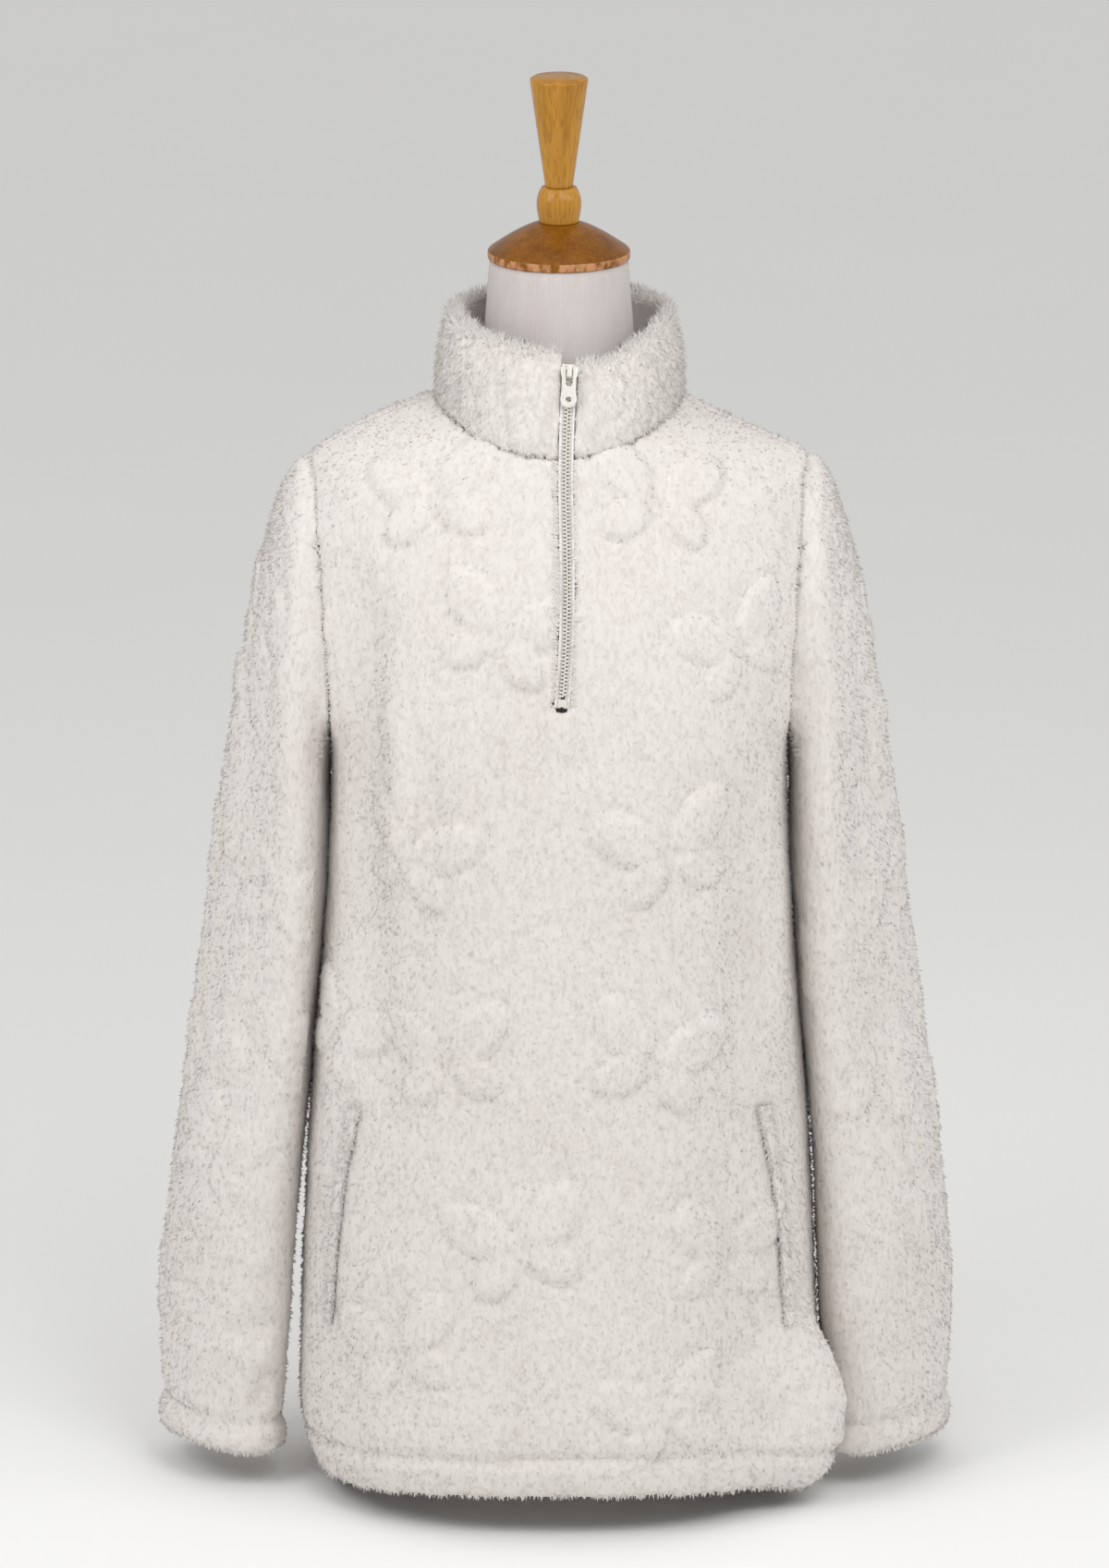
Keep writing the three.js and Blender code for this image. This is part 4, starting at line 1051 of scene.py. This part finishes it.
softened("zip_slider", "zip_slider_body", 0.22 * MM, PLASTIC)
softened("zip_bottom_stop", "zip_stop", 0.6 * MM, PLASTIC)
softened("zip_pull", "zip_pull_tab", 0.35 * MM, PLASTIC, "pull_tab")
softened("form_base", "form_foot", 1.5 * MM, HANDLE_WOOD)


# ---- Dress form ----
def lathe(name, profile, material, nodes, segments=128):
    """Turns a smooth profile of (radius, height) points round the form's axis."""
    count = len(profile)
    points, faces = [], []
    for i in range(segments):
        turn = TURN * i / segments
        points += [(r * math.cos(turn), r * math.sin(turn), z) for r, z in profile]
    for i in range(segments):
        j = (i + 1) % segments
        for k in range(count - 1):
            faces.append((count * i + k, count * j + k, count * j + k + 1, count * i + k + 1))
    faces.append(tuple(count * i for i in reversed(range(segments))))
    faces.append(tuple(count * i + count - 1 for i in range(segments)))
    return piece(link(name, mesh_of(points, faces)), material, nodes=nodes)


def rounded(profile, steps=5):
    """A profile resampled with Catmull-Rom curves between its points."""
    p = np.array(profile)
    p = np.vstack([2 * p[0] - p[1], p, 2 * p[-1] - p[-2]])
    out = []
    for a, b, c, d in zip(p, p[1:], p[2:], p[3:]):
        for t in np.linspace(0, 1, steps, endpoint=False):
            square = (2 * a - 5 * b + 4 * c - d) * t * t
            out.append(0.5 * (2 * b + (c - a) * t + square + (3 * b - a - 3 * c + d) * t**3))
    out.append(p[-2])
    return [(max(r, 1e-5), z) for r, z in out]


def cad_profile(node, steps):
    """Radius at each height of a turned CAD node."""
    low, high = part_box(node)
    heights = np.linspace(low.z, high.z, steps)
    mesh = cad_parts[node].data
    points = np.array([v.co for v in mesh.vertices])
    radius = np.hypot(points[:, 0], points[:, 1])
    levels = sorted({round(z, 6) for z in points[:, 2]})
    widest = [radius[np.abs(points[:, 2] - z) < 1e-6].max() for z in levels]
    return [(float(np.interp(z, levels, widest)), float(z)) for z in heights]


cap_low, cap_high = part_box("neck_cap")
cap_radius = cap_high.x
dome = [p for p in cad_profile("neck_cap", 40) if p[1] > cap_low.z + 6.6 * MM]
rim_profile = [
    (cap_radius - 1.2 * MM, cap_low.z),
    (cap_radius - 0.3 * MM, cap_low.z + 0.5 * MM),
    (cap_radius, cap_low.z + 1.6 * MM),
    (cap_radius, cap_low.z + 4.4 * MM),
    (cap_radius - 0.3 * MM, cap_low.z + 5.7 * MM),
    (cap_radius - 1.1 * MM, cap_low.z + 6.4 * MM),
]
cap_profile = rounded(rim_profile) + [(r, z) for r, z in dome if r < cap_radius - 1.2 * MM]
lathe("cap", cap_profile, CAP_WOOD, ("neck_cap",))
lathe("bead", rounded(cad_profile("finial_bead", 12), 4), HANDLE_WOOD, ("finial_bead",))
lathe("handle", cad_profile("finial_handle", 60), HANDLE_WOOD, ("finial_handle",))

torso = link("torso_jersey", welded_copy("form_torso"))
modifier = torso.modifiers.new("finer", "SUBSURF")
modifier.levels = 2
modifier.subdivision_type = "SIMPLE"
evaluated(torso)
piece(torso, JERSEY, nodes=("form_torso",))

# ---- Cloth areas: each piece's outer area, capped at its flat size ----
for cloth in cloths:
    flat, held = CUTS[cloth.node]
    area = min(outer_area(cloth), 0.999 * flat[0] * flat[1])

# ---- Stage ----
FLOOR_HALF = 30
FLOOR_CORNERS = [(-1, -1, 0), (1, -1, 0), (1, 1, 0), (-1, 1, 0)]
floor_points = [(FLOOR_HALF * x, FLOOR_HALF * y, z) for x, y, z in FLOOR_CORNERS]
floor = link("floor", mesh_of(floor_points, [(0, 1, 2, 3)]))
floor_look = Material("pale_floor", 0.85)
cloudy = floor_look.noise(3.0)
floor_look.colour(floor_look.ramp(cloudy, [(0.3, (0.955, 0.955, 0.95)), (0.7, (0.965, 0.965, 0.96))]))
floor.data.materials.append(floor_look.data)

LIT_MIDDLE = Vector((0, 0, 0.75))  # the softboxes face this


def light(name, data, azimuth, elevation):
    """Links a light that shines from the front: azimuth is to the viewer's right."""
    obj = link(name, data)
    a, e = math.radians(azimuth), math.radians(elevation)
    source = Vector((math.sin(a) * math.cos(e), -math.cos(a) * math.cos(e), math.sin(e)))
    obj.rotation_euler = source.to_track_quat("Z", "Y").to_euler()
    return obj, source


def sun(name, azimuth, elevation, strength, softness):
    data = bpy.data.lights.new(name, "SUN")
    data.energy = strength
    data.angle = math.radians(softness)
    light(name, data, azimuth, elevation)


def softbox(name, azimuth, elevation, distance, size, power):
    data = bpy.data.lights.new(name, "AREA")
    data.shape = "SQUARE"
    data.size = size
    data.energy = power
    obj, source = light(name, data, azimuth, elevation)
    obj.location = LIT_MIDDLE + source * distance


world = bpy.data.worlds.new("studio")
scene.world = world
world.use_nodes = True
background = world.node_tree.nodes["Background"].inputs
background["Color"].default_value = (1.0, 0.995, 0.985, 1)
background["Strength"].default_value = 0.53
sun("overhead", azimuth=0, elevation=74, strength=0.3, softness=60)
softbox("key_box", azimuth=24, elevation=38, distance=1.65, size=0.9, power=9.0)
softbox("fill_box", azimuth=-50, elevation=30, distance=1.7, size=0.9, power=9.6)
softbox("side_box", azimuth=64, elevation=24, distance=1.9, size=0.7, power=4.6)

# ---- Camera ----
camera_data = bpy.data.cameras.new("camera")
camera_data.lens = CAMERA_LENS
camera_data.sensor_width = SENSOR
camera_data.clip_end = 100
camera = link("camera", camera_data)
camera.location = CAMERA_AT
camera.rotation_euler = (math.radians(90 - CAMERA_PITCH), 0, 0)
scene.camera = camera
scene.view_settings.view_transform = "Standard"
